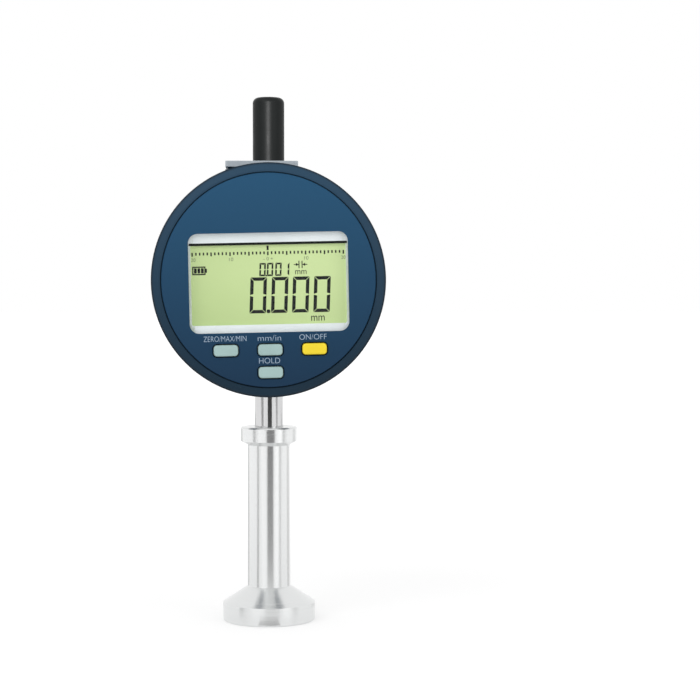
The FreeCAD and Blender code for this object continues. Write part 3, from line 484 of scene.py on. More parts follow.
FINISHES: dict[str, Finish] = {finish.name: finish for finish in (
    Turned("turned_steel", (0.76, 0.77, 0.77), 0.24),
    Ground("stem_chrome", (0.585, 0.585, 0.59), 0.1, stretch=(1.0, 1.0, 10.0)),
    Ground("ground_steel", (0.7, 0.71, 0.72), 0.22),
    Ground("bush_brass", shade(205, 174, 104), 0.25),
    Ground("spring_steel", (0.55, 0.56, 0.57), 0.25),
    Ground("screw_steel", (0.6, 0.6, 0.61), 0.28, stretch=(1.0, 1.0, 1.0)),
    Moulded("case_blue", shade(42, 64, 82), 0.5, gloss=0.15),
    # the rim's fade and darker outer edge are painted shade; the face's fade is partly a printed gradient and
    # partly painted shade
    HeadPaintAndShade("rim_blue", shade(46, 73, 95), 0.5, lower=shade(28, 49, 65), edge_start=31.2, edge_end=32.0),
    HeadPaintAndShade("face_blue", shade(40, 84, 117), 0.5, lower=shade(28, 56, 82), grain=0.12, depth=0.003),
    Moulded("cover_blue", shade(42, 64, 82), 0.5, gloss=0.15),
    Moulded("plate_grey", shade(190, 198, 205), 0.45, gloss=0.3, grain=0.15, depth=0.004),
    Moulded("cap_black", shade(18, 20, 20), 0.4, gloss=0.11, grain=0.25),
    Clear("lens_clear", (0.9, 0.93, 0.92), 0.04, veil=0.015),
    # the white frame's glow is painted light that lifts it out of the shade of the window's recess
    Moulded("frame_white", shade(224, 231, 232), 0.5, gloss=0.15, grain=0.2, depth=0.006, glow=0.18),
    # the display's glow is painted light
    Display("lcd_green", shade(200, 220, 158), 0.5, edge=shade(178, 200, 136)),
    Moulded("light_guide", shade(232, 236, 232), 0.35, grain=0.2, depth=0.005),
    Moulded("key_grey", shade(168, 195, 192), 0.45, gloss=0.2, grain=0.2, depth=0.006),
    Moulded("key_yellow", shade(248, 221, 54), 0.45, gloss=0.2, grain=0.2, depth=0.006),
    Lacquered("board_green", shade(30, 92, 58), 0.35),
    Moulded("chip_black", shade(28, 28, 30), 0.55, grain=0.15),
    Ground("cell_silver", shade(190, 193, 196), 0.35, stretch=(2.0, 1.0, 1.0)),
    Moulded("rubber_black", shade(24, 24, 25), 0.75, grain=0.2, depth=0.02),
    Ground("contact_silver", shade(205, 207, 208), 0.25, stretch=(4.0, 1.0, 1.0)),
    Moulded("scale_glass", shade(180, 196, 200), 0.15, gloss=0.5, grain=0.1, depth=0.002),
)}
LABEL_INK = Moulded("label_ink", shade(176, 196, 216), 0.5, grain=0.1, depth=0.002)
# the display's dark ink also colours the painted shadow under the frame's top band
DISPLAY_INK_AND_SHADOW = Moulded("display_ink_and_shadow", shade(6, 14, 9), 0.6, gloss=0.05, grain=0.1, depth=0.001)
FAINT_INK = Moulded("faint_ink", shade(120, 136, 100), 0.5, grain=0.1, depth=0.001)


# Hand tools


class Bench:
    """The hand tools. Each acts on one piece, with nothing else selected."""

    SMOOTH_BELOW = math.radians(50)
    FLAT_WITHIN = math.radians(0.5)
    ALONG = 0.9
    DOUBLE = 0.0005
    SEAM = 0.001
    CRUMB = 0.002

    @staticmethod
    def take(piece: Piece) -> None:
        """Selects one piece alone, in object mode.

        Args:
            piece: The piece.
        """
        if bpy.context.mode != "OBJECT":
            bpy.ops.object.mode_set(mode="OBJECT")
        bpy.ops.object.select_all(action="DESELECT")
        piece.select_set(True)
        bpy.context.view_layer.objects.active = piece

    @staticmethod
    def name(piece: Piece, name: str) -> Piece:
        """Names a piece and its mesh, and returns the piece."""
        piece.name = piece.data.name = name
        return piece

    @staticmethod
    def fresh(name: str) -> Piece:
        """Names the primitive that was just added and puts its place into its mesh.

        Args:
            name: The piece's name.

        Returns:
            The piece.
        """
        piece = Bench.name(bpy.context.object, name)
        Bench.take(piece)
        bpy.ops.object.transform_apply(location=True, rotation=True, scale=True)
        return piece

    @staticmethod
    @contextmanager
    def editing(piece: Piece, what: Select = Select.EDGES) -> Iterator[None]:
        """Opens a piece in edit mode with all of it picked, and closes it again.

        Args:
            piece: The piece.
            what: Whether edges or faces are picked.
        """
        Bench.take(piece)
        bpy.ops.object.mode_set(mode="EDIT")
        bpy.ops.mesh.select_mode(type=what.value)
        bpy.ops.mesh.select_all(action="SELECT")
        yield
        bpy.ops.object.mode_set(mode="OBJECT")

    @staticmethod
    @contextmanager
    def picking(piece: Piece, what: Select, test: PieceTest) -> Iterator[None]:
        """Opens a piece in edit mode with some edges or faces picked, and closes it again.

        Args:
            piece: The piece.
            what: Whether edges or faces are picked.
            test: Says from an edge's middle and direction, or a face's middle and normal, whether it is.
        """
        with Bench.editing(piece, what):
            bpy.ops.mesh.select_all(action="DESELECT")
        mesh = piece.data
        if what is Select.FACES:
            for face in mesh.polygons:
                face.select = test(face.center, face.normal)
        else:
            for edge in mesh.edges:
                first, second = (mesh.vertices[index].co for index in edge.vertices)
                edge.select = test((first + second) / 2, (second - first).normalized())
        bpy.ops.object.mode_set(mode="EDIT")
        yield
        bpy.ops.object.mode_set(mode="OBJECT")

    @staticmethod
    def modify(piece: Piece, kind: str, **settings: object) -> None:
        """Gives a piece a modifier and applies it.

        Args:
            piece: The piece.
            kind: The modifier's type.
            settings: The modifier's own properties.
        """
        Bench.take(piece)
        tool = piece.modifiers.new(kind.lower(), kind)
        put(tool, **settings)
        bpy.ops.object.modifier_apply(modifier=tool.name)

    @staticmethod
    def turn(name: str, rings: Sequence[Point], capped: bool, sides: int, lies: Lies = Lies.UPRIGHT) -> Piece:
        """Turns a piece from its profile, ring after ring.

        Args:
            name: The piece's name.
            rings: The profile, as (radius, distance along the axis).
            capped: Whether the two ends are closed flat; else the last ring meets the first.
            sides: How many sides a ring has.
            lies: Which way the axis runs.

        Returns:
            The piece.
        """
        radius, place = rings[0]
        bpy.ops.mesh.primitive_circle_add(vertices=sides, radius=radius, location=(0, 0, place))
        piece = Bench.fresh(name)
        with Bench.editing(piece):
            for next_radius, next_place in rings[1:]:
                bpy.ops.mesh.extrude_region_move(TRANSFORM_OT_translate={"value": (0, 0, next_place - place)})
                growth = next_radius / radius
                bpy.ops.transform.resize(value=(growth, growth, 1), center_override=(0, 0, next_place))
                radius, place = next_radius, next_place
            bpy.ops.mesh.select_all(action="SELECT")
            if capped:
                bpy.ops.mesh.fill_holes(sides=0)
            else:
                bpy.ops.mesh.remove_doubles(threshold=Bench.SEAM)
            bpy.ops.mesh.select_all(action="SELECT")
            bpy.ops.mesh.normals_make_consistent(inside=False)
        if lies is Lies.REARWARD:
            piece.rotation_euler = (-math.pi / 2, 0, 0)
            bpy.ops.object.transform_apply(rotation=True)
        return piece

    @staticmethod
    def slab(name: str, width: float, height: float, front: float, rear: float,
             at: Point = (0.0, 0.0), corner: float = 0.0, steps: int = 5) -> Piece:
        """Makes a plate that faces the front.

        Args:
            name: The piece's name.
            width: Its size across.
            height: Its size upwards.
            front: Where its front lies.
            rear: Where its rear lies.
            at: Its middle, across and up.
            corner: The radius of its corners.
            steps: How many faces a corner has.

        Returns:
            The piece.
        """
        bpy.ops.mesh.primitive_cube_add(size=1, location=(at[0], (front + rear) / 2, at[1]),
                                        scale=(width, rear - front, height))
        piece = Bench.fresh(name)
        if corner > 0:
            with Bench.picking(piece, Select.EDGES, lambda middle, way: abs(way.y) > Bench.ALONG):
                bpy.ops.mesh.bevel(offset=corner, segments=steps, affect="EDGES")
        return piece

    @staticmethod
    def bar(name: str, radius: float, start: Vector, end: Vector, sides: int = 48) -> Piece:
        """Makes a round bar between two points.

        Args:
            name: The piece's name.
            radius: Its radius.
            start: The middle of one end.
            end: The middle of the other end.
            sides: How many sides it has.

        Returns:
            The piece.
        """
        way = end - start
        turned = way.to_track_quat("Z", "Y").to_euler()
        bpy.ops.mesh.primitive_cylinder_add(vertices=sides, radius=radius, depth=way.length,
                                            location=(start + end) / 2, rotation=turned)
        return Bench.fresh(name)

    @staticmethod
    def combine(piece: Piece, others: Sequence[Piece], how: Join) -> None:
        """Cuts other solids from a piece, or adds them to it, and uses them up.

        Args:
            piece: The piece that stays.
            others: The solids.
            how: Whether they are cut away or added.
        """
        for other in others:
            Bench.modify(piece, "BOOLEAN", operation=how.value, object=other, solver="EXACT")
            bpy.data.objects.remove(other)

    @staticmethod
    def soften(piece: Piece, width: float, steps: int = 2, angle: float = 25.0) -> None:
        """Rounds a piece's sharp edges and shades the rest smooth.

        Args:
            piece: The piece.
            width: How wide the rounding is, in the piece's present unit.
            steps: How many faces it has.
            angle: The smallest angle, in degrees, that counts as an edge.
        """
        Bench.modify(piece, "BEVEL", width=width, segments=steps, limit_method="ANGLE",
                     angle_limit=math.radians(angle))
        bpy.ops.object.shade_smooth_by_angle(angle=Bench.SMOOTH_BELOW)
        Bench.modify(piece, "WEIGHTED_NORMAL", keep_sharp=True)

    @staticmethod
    def from_node(node: str, name: str) -> Piece:
        """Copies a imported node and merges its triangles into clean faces, in millimetres.

        Args:
            node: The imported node's name.
            name: The piece's name.

        Returns:
            The copy.
        """
        mesh = bpy.data.objects[node].data.copy()
        mesh.transform(Matrix.Scale(1 / MM, 4))
        piece = Bench.name(bpy.data.objects.new(name, mesh), name)
        bpy.context.scene.collection.objects.link(piece)
        Bench.take(piece)
        bpy.ops.mesh.customdata_custom_splitnormals_clear()
        with Bench.editing(piece):
            bpy.ops.mesh.remove_doubles(threshold=Bench.DOUBLE)
            bpy.ops.mesh.dissolve_limited(angle_limit=Bench.FLAT_WITHIN)
        return piece

    @staticmethod
    def copy(piece: Piece, name: str, move: Matrix) -> Piece:
        """Copies a piece.

        Args:
            piece: The piece to copy.
            name: The copy's name.
            move: Where the copy's points go.

        Returns:
            The copy, with a mesh of its own.
        """
        Bench.take(piece)
        bpy.ops.object.duplicate(linked=False)
        twin = Bench.name(bpy.context.object, name)
        twin.data.transform(move)
        return twin

    @staticmethod
    def close(piece: Piece) -> None:
        """Merges the points that a cut left doubled, so that a piece's mesh is closed.

        Args:
            piece: The piece.
        """
        with Bench.editing(piece):
            bpy.ops.mesh.remove_doubles(threshold=Bench.CRUMB)
            bpy.ops.mesh.dissolve_degenerate(threshold=Bench.CRUMB)

    @staticmethod
    def unite(name: str, parts: Sequence[Piece]) -> Piece:
        """Joins parts that stay apart in space into one piece.

        Args:
            name: The piece's name.
            parts: The parts.

        Returns:
            The piece.
        """
        Bench.take(parts[0])
        for part in parts:
            part.select_set(True)
        bpy.ops.object.join()
        return Bench.name(parts[0], name)

    @staticmethod
    def settle(piece: Piece, stand: Stand) -> None:
        """Brings a finished piece from its millimetres into the frame, with its place in its mesh.

        Args:
            piece: The piece.
            stand: Where its millimetres start.
        """
        Bench.take(piece)
        piece.scale = (MM, MM, MM)
        if stand is Stand.FACE:
            piece.location = (0, 0, DIAL_HEIGHT * MM)
            piece.rotation_euler = (0, -FACE_ROLL, 0)
        bpy.ops.object.transform_apply(location=True, rotation=True, scale=True)


@dataclass(frozen=True)
class Home:
    """Where a finished piece goes: its body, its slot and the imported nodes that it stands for."""

    body: str
    slot: str
    nodes: tuple[str, ...] = ()

    def receive(self, piece: Piece, rounding: float = 0.0, stand: Stand = Stand.FOOT,
                finish: Finish | None = None) -> None:
        """Rounds a piece, brings it into the frame and gives it its finish, body and nodes.

        Args:
            piece: The piece, in millimetres.
            rounding: How wide its sharp edges are rounded, where they still are sharp.
            stand: Where its millimetres start.
            finish: Its finish, where it isn't the slot's own.
        """
        if rounding > 0:
            Bench.soften(piece, rounding)
        Bench.settle(piece, stand)
        (finish or FINISHES[self.slot]).coat(piece)
        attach(piece, self.body)
        if self.nodes:
            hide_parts(*self.nodes)
        LOG.info("%s rides on %s, %d faces", piece.name, self.body, len(piece.data.polygons))

    def carry(self, name: str, rounding: float) -> Piece:
        """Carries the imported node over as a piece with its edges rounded.

        Args:
            name: The piece's name.
            rounding: How wide its edges are rounded, in millimetres.

        Returns:
            The piece.
        """
        piece = Bench.from_node(self.nodes[0], name)
        self.receive(piece, rounding)
        return piece


# Sub-assemblies


@dataclass
class Base:
    """The turned base, its clamp screw, the stem and the needle tip, in millimetres from the foot."""

    foot_radius: float = 13.0
    foot_edge: float = 5.1
    foot_chamfer: float = 0.3
    cone_top: float = 9.7
    column_radius: float = 6.0
    collar_radius: float = 8.0
    collar_low: float = 50.5
    undercut: float = 1.1
    height: float = 54.5
    collar_chamfer: float = 0.4
    mouth_radius: float = 2.3
    mouth_depth: float = 0.5
    tip_bore: float = 1.8
    rod_bore: float = 2.6
    rod_floor: float = 6.0
    socket_radius: float = 4.02
    socket_floor: float = 42.0
    screw_bore: float = 1.52
    stem_radius: float = 4.0
    stem_bore: float = 3.0
    stem_top: float = 73.5
    point_radius: float = 0.1
    needle_radius: float = 1.5
    needle_cone: float = 2.425
    needle_top: float = 12.0
    stud_radius: float = 1.25
    stud_top: float = 15.8
    base_rounding: float = 0.12
    stem_rounding: float = 0.15
    screw_rounding: float = 0.08
    tip_rounding: float = 0.03

    def build(self) -> None:
        """Builds every piece of the base."""
        self.body()
        self.stem()
        Home("gauge", "screw_steel", ("clamp_screw",)).carry("grub_screw", self.screw_rounding)
        self.tip()

    def body(self) -> None:
        """Turns the foot, cone, column and collar, bored through, and drills the clamp screw's hole."""
        rings = [
            (self.mouth_radius, 0.0),
            (self.foot_radius - self.foot_chamfer, 0.0),
            (self.foot_radius, self.foot_chamfer),
            (self.foot_radius, self.foot_edge),
            (self.column_radius, self.cone_top),
            (self.column_radius, self.collar_low - self.undercut),
            (self.collar_radius, self.collar_low),
            (self.collar_radius, self.height - self.collar_chamfer),
            (self.collar_radius - self.collar_chamfer, self.height),
            (self.socket_radius, self.height),
            (self.socket_radius, self.socket_floor),
            (self.rod_bore, self.socket_floor),
            (self.rod_bore, self.rod_floor),
            (self.tip_bore, self.rod_floor),
            (self.tip_bore, self.mouth_depth),
            (self.mouth_radius, 0.0),
        ]
        piece = Bench.turn("turned_base", rings, capped=False, sides=160)
        middle = Vector((0, 0, (self.collar_low + self.height) / 2))
        hole = Bench.bar("hole", self.screw_bore, middle, middle + Vector((0, self.collar_radius + 1, 0)))
        Bench.combine(piece, [hole], Join.CUT)
        Bench.close(piece)
        Home("gauge", "turned_steel", ("base",)).receive(piece, self.base_rounding)

    def stem(self) -> None:
        """Turns the chromed tube between the base and the case."""
        rings = [
            (self.stem_bore, self.socket_floor),
            (self.stem_radius, self.socket_floor),
            (self.stem_radius, self.stem_top),
            (self.stem_bore, self.stem_top),
            (self.stem_bore, self.socket_floor),
        ]
        piece = Bench.turn("stem_tube", rings, capped=False, sides=96)
        Home("gauge", "stem_chrome", ("stem",)).receive(piece, self.stem_rounding)

    def tip(self) -> None:
        """Turns the needle tip that reaches the floor through the foot."""
        rings = [
            (self.point_radius, 0.0),
            (self.needle_radius, self.needle_cone),
            (self.needle_radius, self.needle_top),
            (self.stud_radius, self.needle_top),
            (self.stud_radius, self.stud_top),
        ]
        piece = Bench.turn("needle_tip", rings, capped=True, sides=48)
        Home("plunger", "ground_steel", ("contact_tip",)).receive(piece, self.tip_rounding)


@dataclass
class Case:
    """The drum case with its cover, top plate, cap and spring, in millimetres from the foot."""

    carried: tuple[tuple[str, str, str, float], ...] = (
        ("rear_case", "drum_case", "case_blue", 0.22),
        ("back_cover", "rear_cover", "cover_blue", 0.18),
        ("back_screws", "cover_screws", "screw_steel", 0.07),
        ("top_plate", "crown_plate", "plate_grey", 0.15),
        ("plate_screws", "crown_screws", "screw_steel", 0.07),
    )
    cap_low: float = 128.7
    cap_high: float = 146.6
    cap_radius: float = 4.4
    cap_round: float = 1.57
    cap_steps: int = 6
    cap_roof: float = 1.4
    cap_cavity: float = 2.8
    neck_radius: float = 3.52
    neck_top: float = 132.7
    cap_rounding: float = 0.12
    cap_crease: float = 40.0
    spring_rounding: float = 0.05
    spring_travel: float = 9.5

    def build(self) -> None:
        """Builds the cap, carries over what else shows of the case, and winds the spring in it."""
        self.cap()
        for node, name, slot, rounding in self.carried:
            Home("gauge", slot, (node,)).carry(name, rounding)
        self.spring()

    def spring(self) -> None:
        """Carries over the return spring and gives it a mesh of its own."""
        home = Home("gauge", "spring_steel", ("return_spring",))
        piece = home.carry("wound_spring", self.spring_rounding)
        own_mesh(piece)

    def cap(self) -> None:
        """Turns the tall cap, its top edge rounded, hollow for the spindle's end."""
        rings = []
        for step in range(self.cap_steps + 1):
            angle = math.radians(90 - 90 / self.cap_steps * step)
            rings.append((self.cap_radius - self.cap_round * (1 - math.cos(angle)),
                          self.cap_high - self.cap_round * (1 - math.sin(angle))))
        rings += [
            (self.cap_radius, self.cap_low),
            (self.neck_radius, self.cap_low),
            (self.neck_radius, self.neck_top),
            (self.cap_cavity, self.neck_top),
            (self.cap_cavity, self.cap_high - self.cap_roof),
        ]
        piece = Bench.turn("tall_cap", rings, capped=True, sides=96)
        Bench.soften(piece, self.cap_rounding, angle=self.cap_crease)
        Home("gauge", "cap_black", ("spindle_cap",)).receive(piece)


@dataclass
class Head:
    """The display head, in millimetres from the display's centre."""

    face_front: float = -16.4
    face_rear: float = -15.6
    face_radius: float = 29.15
    face_chamfer: float = 0.15
    window_width: float = 43.4
    window_top: float = 12.9
    window_low: float = -14.2
    window_corner: float = 2.6
    window_steps: int = 8
    key_front: float = -17.1
    key_width: float = 6.65
    key_height: float = 3.05
    key_corner: float = 0.95
    key_round: float = 0.45
    key_steps: int = 4
    key_crease: float = 35.0
    key_gap: float = 0.355
    flange_front: float = -14.15
    flange_rear: float = -13.55
    flange_wider: float = 1.35
    post_radius: float = 1.0
    post_end: float = -12.65
    cap_sunk: float = 0.2
    post_sunk: float = 0.05
    key_pitch: float = 12.05
    key_row: float = -18.94
    hold_row: float = -25.1
    cutter_reach: float = 1.0
    housing_rounding: float = 0.25
    housing_crease: float = 20.0
    face_rounding: float = 0.06
    socket_rounding: float = 0.06

    def build(self) -> None:
        """Builds every piece of the head that shows."""
        self.housing()
        self.face()
        self.keys()
        Home("head", "contact_silver", ("usb_socket",)).carry("data_socket", self.socket_rounding)

    def key_places(self) -> dict[str, Point]:
        """Says where the keys are.

        Returns:
            Each key's middle by its node's name.
        """
        return {
            "zero_key": (-self.key_pitch, self.key_row),
            "unit_key": (0.0, self.key_row),
            "power_key": (self.key_pitch, self.key_row),
            "hold_key": (0.0, self.hold_row),
        }

    def housing(self) -> None:
        """Carries over the round housing and rounds its rim."""
        piece = Bench.from_node("head_housing", "round_housing")
        Bench.soften(piece, self.housing_rounding, steps=3, angle=self.housing_crease)
        Home("head", "rim_blue", ("head_housing",)).receive(piece)

    def face(self) -> None:
        """Turns the face plate and cuts it out for the window and the keys."""
        rings = [
            (self.face_radius, self.face_rear),
            (self.face_radius, self.face_front + self.face_chamfer),
            (self.face_radius - self.face_chamfer, self.face_front),
        ]
        piece = Bench.turn("printed_face", rings, capped=True, sides=160, lies=Lies.REARWARD)
        front, rear = self.face_front - self.cutter_reach, self.face_rear + self.cutter_reach
        middle = (0.0, (self.window_top + self.window_low) / 2)
        cutters = [Bench.slab("window", self.window_width, self.window_top - self.window_low, front, rear,
                              middle, self.window_corner, self.window_steps)]
        width, height = self.key_width + 2 * self.key_gap, self.key_height + 2 * self.key_gap
        corner = self.key_corner + self.key_gap
        for place in self.key_places().values():
            cutters.append(Bench.slab("gap", width, height, front, rear, place, corner))
        Bench.combine(piece, cutters, Join.CUT)
        Home("head", "face_blue", ("face_plate",)).receive(piece, self.face_rounding, Stand.FACE)

    def keys(self) -> None:
        """Makes the four keys, all copies of one."""
        key = self.key()
        for node, place in self.key_places().items():
            cap = Bench.copy(key, node + "_cap", shift(place))
            slot = "key_yellow" if node == "power_key" else "key_grey"
            Home(node, slot, (node,)).receive(cap, stand=Stand.FACE)
        bpy.data.objects.remove(key)

    def key(self) -> Piece:
        """Makes one key at the display's centre, of a rounded cap, a flange and a post.

        Returns:
            The key.
        """
        cap = Bench.slab("key", self.key_width, self.key_height,
                         self.key_front, self.flange_front + self.cap_sunk, corner=self.key_corner)
        with Bench.picking(cap, Select.FACES, lambda middle, normal: normal.y < -Bench.ALONG):
            bpy.ops.mesh.bevel(offset=self.key_round, segments=self.key_steps, affect="EDGES")
        flange = Bench.slab("flange", self.key_width + self.flange_wider, self.key_height + self.flange_wider,
                            self.flange_front, self.flange_rear, corner=self.key_corner)
        start, end = Vector((0, self.flange_rear - self.post_sunk, 0)), Vector((0, self.post_end, 0))
        post = Bench.bar("post", self.post_radius, start, end)
        Bench.combine(cap, [flange, post], Join.ADD)
        Bench.close(cap)
        bpy.ops.object.shade_smooth_by_angle(angle=math.radians(self.key_crease))
        return cap


@dataclass
class Lettering:
    """The key labels, the display's characters and a painted shadow on the display, in millimetres from the
    display's centre.
    """

    labels: tuple[tuple[str, Point, Point], ...] = (
        ("ZERO/MAX/MIN", (-12.22, -15.72), (11.6, 1.45)),
        ("mm/in", (-0.18, -15.7), (6.3, 1.55)),
        ("ON/OFF", (11.68, -15.66), (7.4, 1.45)),
        ("HOLD", (-0.27, -21.88), (5.7, 1.5)),
    )
    units: tuple[tuple[str, Point, Point], ...] = (
        ("mm", (8.8, 2.0), (3.1, 1.1)),
        ("mm", (13.2, -10.66), (3.7, 1.4)),
    )
    scale_numbers: tuple[tuple[str, Point], ...] = (("10", (-10.1, 10.4)), ("20", (-20.4, 20.5)))
    face: float = -16.4
    glass: float = -14.1
    frame: float = -14.8
    thick: float = 0.03
    slant: float = 0.052
    thinner: float = 0.0155
    tick_pitch: float = 1.03
    tick_top: float = 7.835
    tick_width: float = 0.4
    tick_shift: float = -0.08
    long_tick: float = 1.04
    short_tick: float = 0.77
    pointer: Point = (-0.12, 8.8)
    pointer_size: Point = (0.55, 1.25)
    number_row: float = 5.85
    number_height: float = 0.95
    number_width: float = 1.15
    zero_width: float = 2.6
    battery: Point = (-18.95, 2.9)
    battery_size: Point = (3.5, 2.3)
    battery_stroke: float = 0.34
    battery_bar: Point = (0.74, 1.4)
    battery_pitch: float = 0.95
    battery_knob: Point = (0.4, 1.1)
    arrows: Point = (8.76, 4.1)
    arrow_wall: Point = (0.26, 2.0)
    arrow_shaft: Point = (0.9, 0.22)
    arrow_head: float = 0.52
    reading: Point = (4.5, 9.8)
    reading_row: float = -4.1
    reading_stroke: float = 0.92
    reading_places: tuple[float, ...] = (-2.96, 2.9, 8.65, 14.46)
    reading_dot: Point = (-0.25, -8.5)
    step: Point = (1.72, 3.6)
    step_row: float = 2.9
    step_stroke: float = 0.46
    step_places: tuple[float, ...] = (-1.62, 0.42, 2.7, 4.82)
    step_dot: Point = (-0.62, 1.25)
    # painted shadow: where the dark strip under the frame's top band lies, and its size
    shadow_row: Point = (0.0, 9.98)
    shadow_size: Point = (43.1, 0.68)

    def build(self) -> None:
        """Builds the labels, the characters and the painted shadow on the display."""
        labels = [self.word(*label, self.face, self.thinner) for label in self.labels]
        self.lay("key_labels", labels, "face_blue", LABEL_INK)
        self.lay("display_characters_and_shadow", self.characters(), "lcd_green", DISPLAY_INK_AND_SHADOW)
        self.lay("display_numbers", self.numbers(), "lcd_green", FAINT_INK)

    def lay(self, name: str, parts: Sequence[Piece], slot: str, ink: Finish) -> None:
        """Unites parts into one piece on the head and gives it its ink."""
        Home("head", slot).receive(Bench.unite(name, parts), stand=Stand.FACE, finish=ink)

    def word(self, text: str, middle: Point, size: Point, on: float, thinner: float = 0.0) -> Piece:
        """Sets a word in the plain built-in letters.

        Args:
            text: The word.
            middle: Its middle, across and up.
            size: Its width and height.
            on: The depth of the surface that it lies on.
            thinner: How much its strokes are narrowed at either side, against a letter's size.

        Returns:
            The word as a thin mesh.
        """
        bpy.ops.object.text_add()
        word = bpy.context.object
        put(word.data, body=text, extrude=self.thick / 2, offset=-thinner)
        Bench.take(word)
        bpy.ops.object.convert(target="MESH")
        axes = list(zip(*(vertex.co for vertex in word.data.vertices)))
        low, high = Vector([min(axis) for axis in axes]), Vector([max(axis) for axis in axes])
        word.data.transform(Matrix.Translation(-(low + high) / 2))
        word.scale = (size[0] / (high.x - low.x), size[1] / (high.y - low.y), 1)
        word.rotation_euler = (math.pi / 2, 0, 0)
        word.location = (middle[0], on, middle[1])
        return Bench.fresh(text)

    def mark(self, width: float, height: float, corner: float = 0.0, on: float | None = None) -> Piece:
        """Makes one flat mark at the display's centre.

        Args:
            width: Its width.
            height: Its height.
            corner: The radius of its corners.
            on: The depth of the surface that it lies on, where that isn't the glass.

        Returns:
            The mark.
        """
        depth = self.glass if on is None else on
        front, rear = depth - self.thick / 2, depth + self.thick / 2
        return Bench.slab("mark", width, height, front, rear, corner=corner, steps=2)

    def spots(self, piece: Piece, places: Sequence[Point]) -> list[Piece]:
        """Puts a copy of a mark at each place and uses the mark up.

        Args:
            piece: The mark, at the display's centre.
            places: Where the copies go, across and up.

        Returns:
            The copies.
        """
        made = [Bench.copy(piece, piece.name, shift(place)) for place in places]
        bpy.data.objects.remove(piece)
        return made

    def segment(self, length: float, thick: float, blunt: int) -> Piece:
        """Makes one segment at the display's centre, its lower side the shorter one.

        Args:
            length: Its length.
            thick: Its thickness.
            blunt: The end that is cut less: -1 the left, 1 the right, 0 neither.

        Returns:
            The segment.
        """
        piece = self.mark(length, thick)
        cut = (2.0 - 0.7 * abs(blunt)) * thick
        anchor = blunt * length * (1 / 2 - thick / cut)
        with Bench.picking(piece, Select.EDGES, lambda spot, way: abs(way.y) > Bench.ALONG and spot.z < 0):
            bpy.ops.transform.resize(value=((length - cut) / length, 1, 1), center_override=(anchor, 0, 0))
        return piece

    def digits(self, row: Sequence[tuple[float, str]], up: float, size: Point, thick: float) -> list[Piece]:
        """Makes a row of seven-segment digits from copies of three segments.

        Args:
            row: Each digit's middle and the segments that it shows, from a to f.
            up: How high the row stands.
            size: A digit's width and height.
            thick: A segment's thickness.

        Returns:
            The segments.
        """
        width, height = size
        half_gap = thick * 0.09
        right, top = width / 2 - thick / 2, height / 2 - thick / 2
        across, upright = width - 2 * half_gap, height / 2 - 2.6 * half_gap
        shapes = {blunt: self.segment(upright if blunt else across, thick, blunt) for blunt in (0, -1, 1)}
        quarter = math.pi / 2
        places = {
            "a": (0, 0.0, (0.0, top)),
            "b": (-1, -quarter, (right, height / 4)),
            "c": (1, -quarter, (right, -height / 4)),
            "d": (0, math.pi, (0.0, -top)),
            "e": (-1, quarter, (-right, -height / 4)),
            "f": (1, quarter, (-right, height / 4)),
        }
        lean = Matrix.Identity(4)
        lean[0][2] = self.slant
        made = []
        for middle, lit in row:
            home = shift((middle, up)) @ lean
            for letter in lit:
                blunt, turn, place = places[letter]
                move = home @ shift(place) @ Matrix.Rotation(-turn, 4, "Y")
                made.append(Bench.copy(shapes[blunt], "segment", move))
        for shape in shapes.values():
            bpy.data.objects.remove(shape)
        return made

    def scale_row(self) -> list[Piece]:
        """Makes the row of scale marks, every fifth one long, and its pointer.

        Returns:
            The marks.
        """
        marks = []
        for tall, wanted in ((self.long_tick, True), (self.short_tick, False)):
            places = [(place * self.tick_pitch + self.tick_shift, self.tick_top - tall / 2)
                      for place in range(-20, 21) if (place % 5 == 0) is wanted]
            marks += self.spots(self.mark(self.tick_width, tall), places)
        return marks + self.spots(self.mark(*self.pointer_size), [self.pointer])

    def battery_sign(self) -> list[Piece]:
        """Makes the battery sign: a frame, three bars and a knob.

        Returns:
            The marks.
        """
        x, z = self.battery
        width, height = self.battery_size
        stroke, pitch = self.battery_stroke, self.battery_pitch
        marks = self.spots(self.mark(width, stroke), [(x, z + 1.0), (x, z - 1.0)])
        marks += self.spots(self.mark(stroke, height), [(x - 1.65, z), (x + 1.65, z)])
        marks += self.spots(self.mark(*self.battery_bar, 0.1), [(x - pitch, z), (x, z), (x + pitch, z)])
        return marks + self.spots(self.mark(*self.battery_knob), [(x + 2.0, z)])

    def arrow_sign(self) -> list[Piece]:
        """Makes the sign with two arrows that point at each other.

        Returns:
            The marks.
        """
        x, z = self.arrows
        marks = self.spots(self.mark(*self.arrow_wall), [(x - 0.42, z), (x + 0.42, z)])
        marks += self.spots(self.mark(*self.arrow_shaft), [(x - 1.4, z), (x + 1.4, z)])
        quarter = math.pi / 2
        bpy.ops.mesh.primitive_cylinder_add(vertices=3, radius=self.arrow_head, depth=self.thick,
                                            location=(0, self.glass, 0), rotation=(quarter, quarter, 0))
        arrow = Bench.fresh("arrow")
        for side, turn in ((-1, 0.0), (1, math.pi)):
            move = shift((x + side, z)) @ Matrix.Rotation(turn, 4, "Y")
            marks.append(Bench.copy(arrow, "arrow", move))
        bpy.data.objects.remove(arrow)
        return marks

    def characters(self) -> list[Piece]:
        """Makes the dark characters that the display shows, and a painted shadow under the frame's top band.

        Returns:
            The characters.
        """
        zero, one = "abcdef", "bc"
        reading = list(zip(self.reading_places, (zero, zero, zero, zero)))
        step = list(zip(self.step_places, (zero, zero, zero, one)))
        dark = self.scale_row() + self.battery_sign() + self.arrow_sign()
        dark += self.digits(reading, self.reading_row, self.reading, self.reading_stroke)
        dark += self.digits(step, self.step_row, self.step, self.step_stroke)
        dark += self.spots(self.mark(1.0, 1.0, 0.3), [self.reading_dot])
        dark += self.spots(self.mark(0.38, 0.38), [self.step_dot])
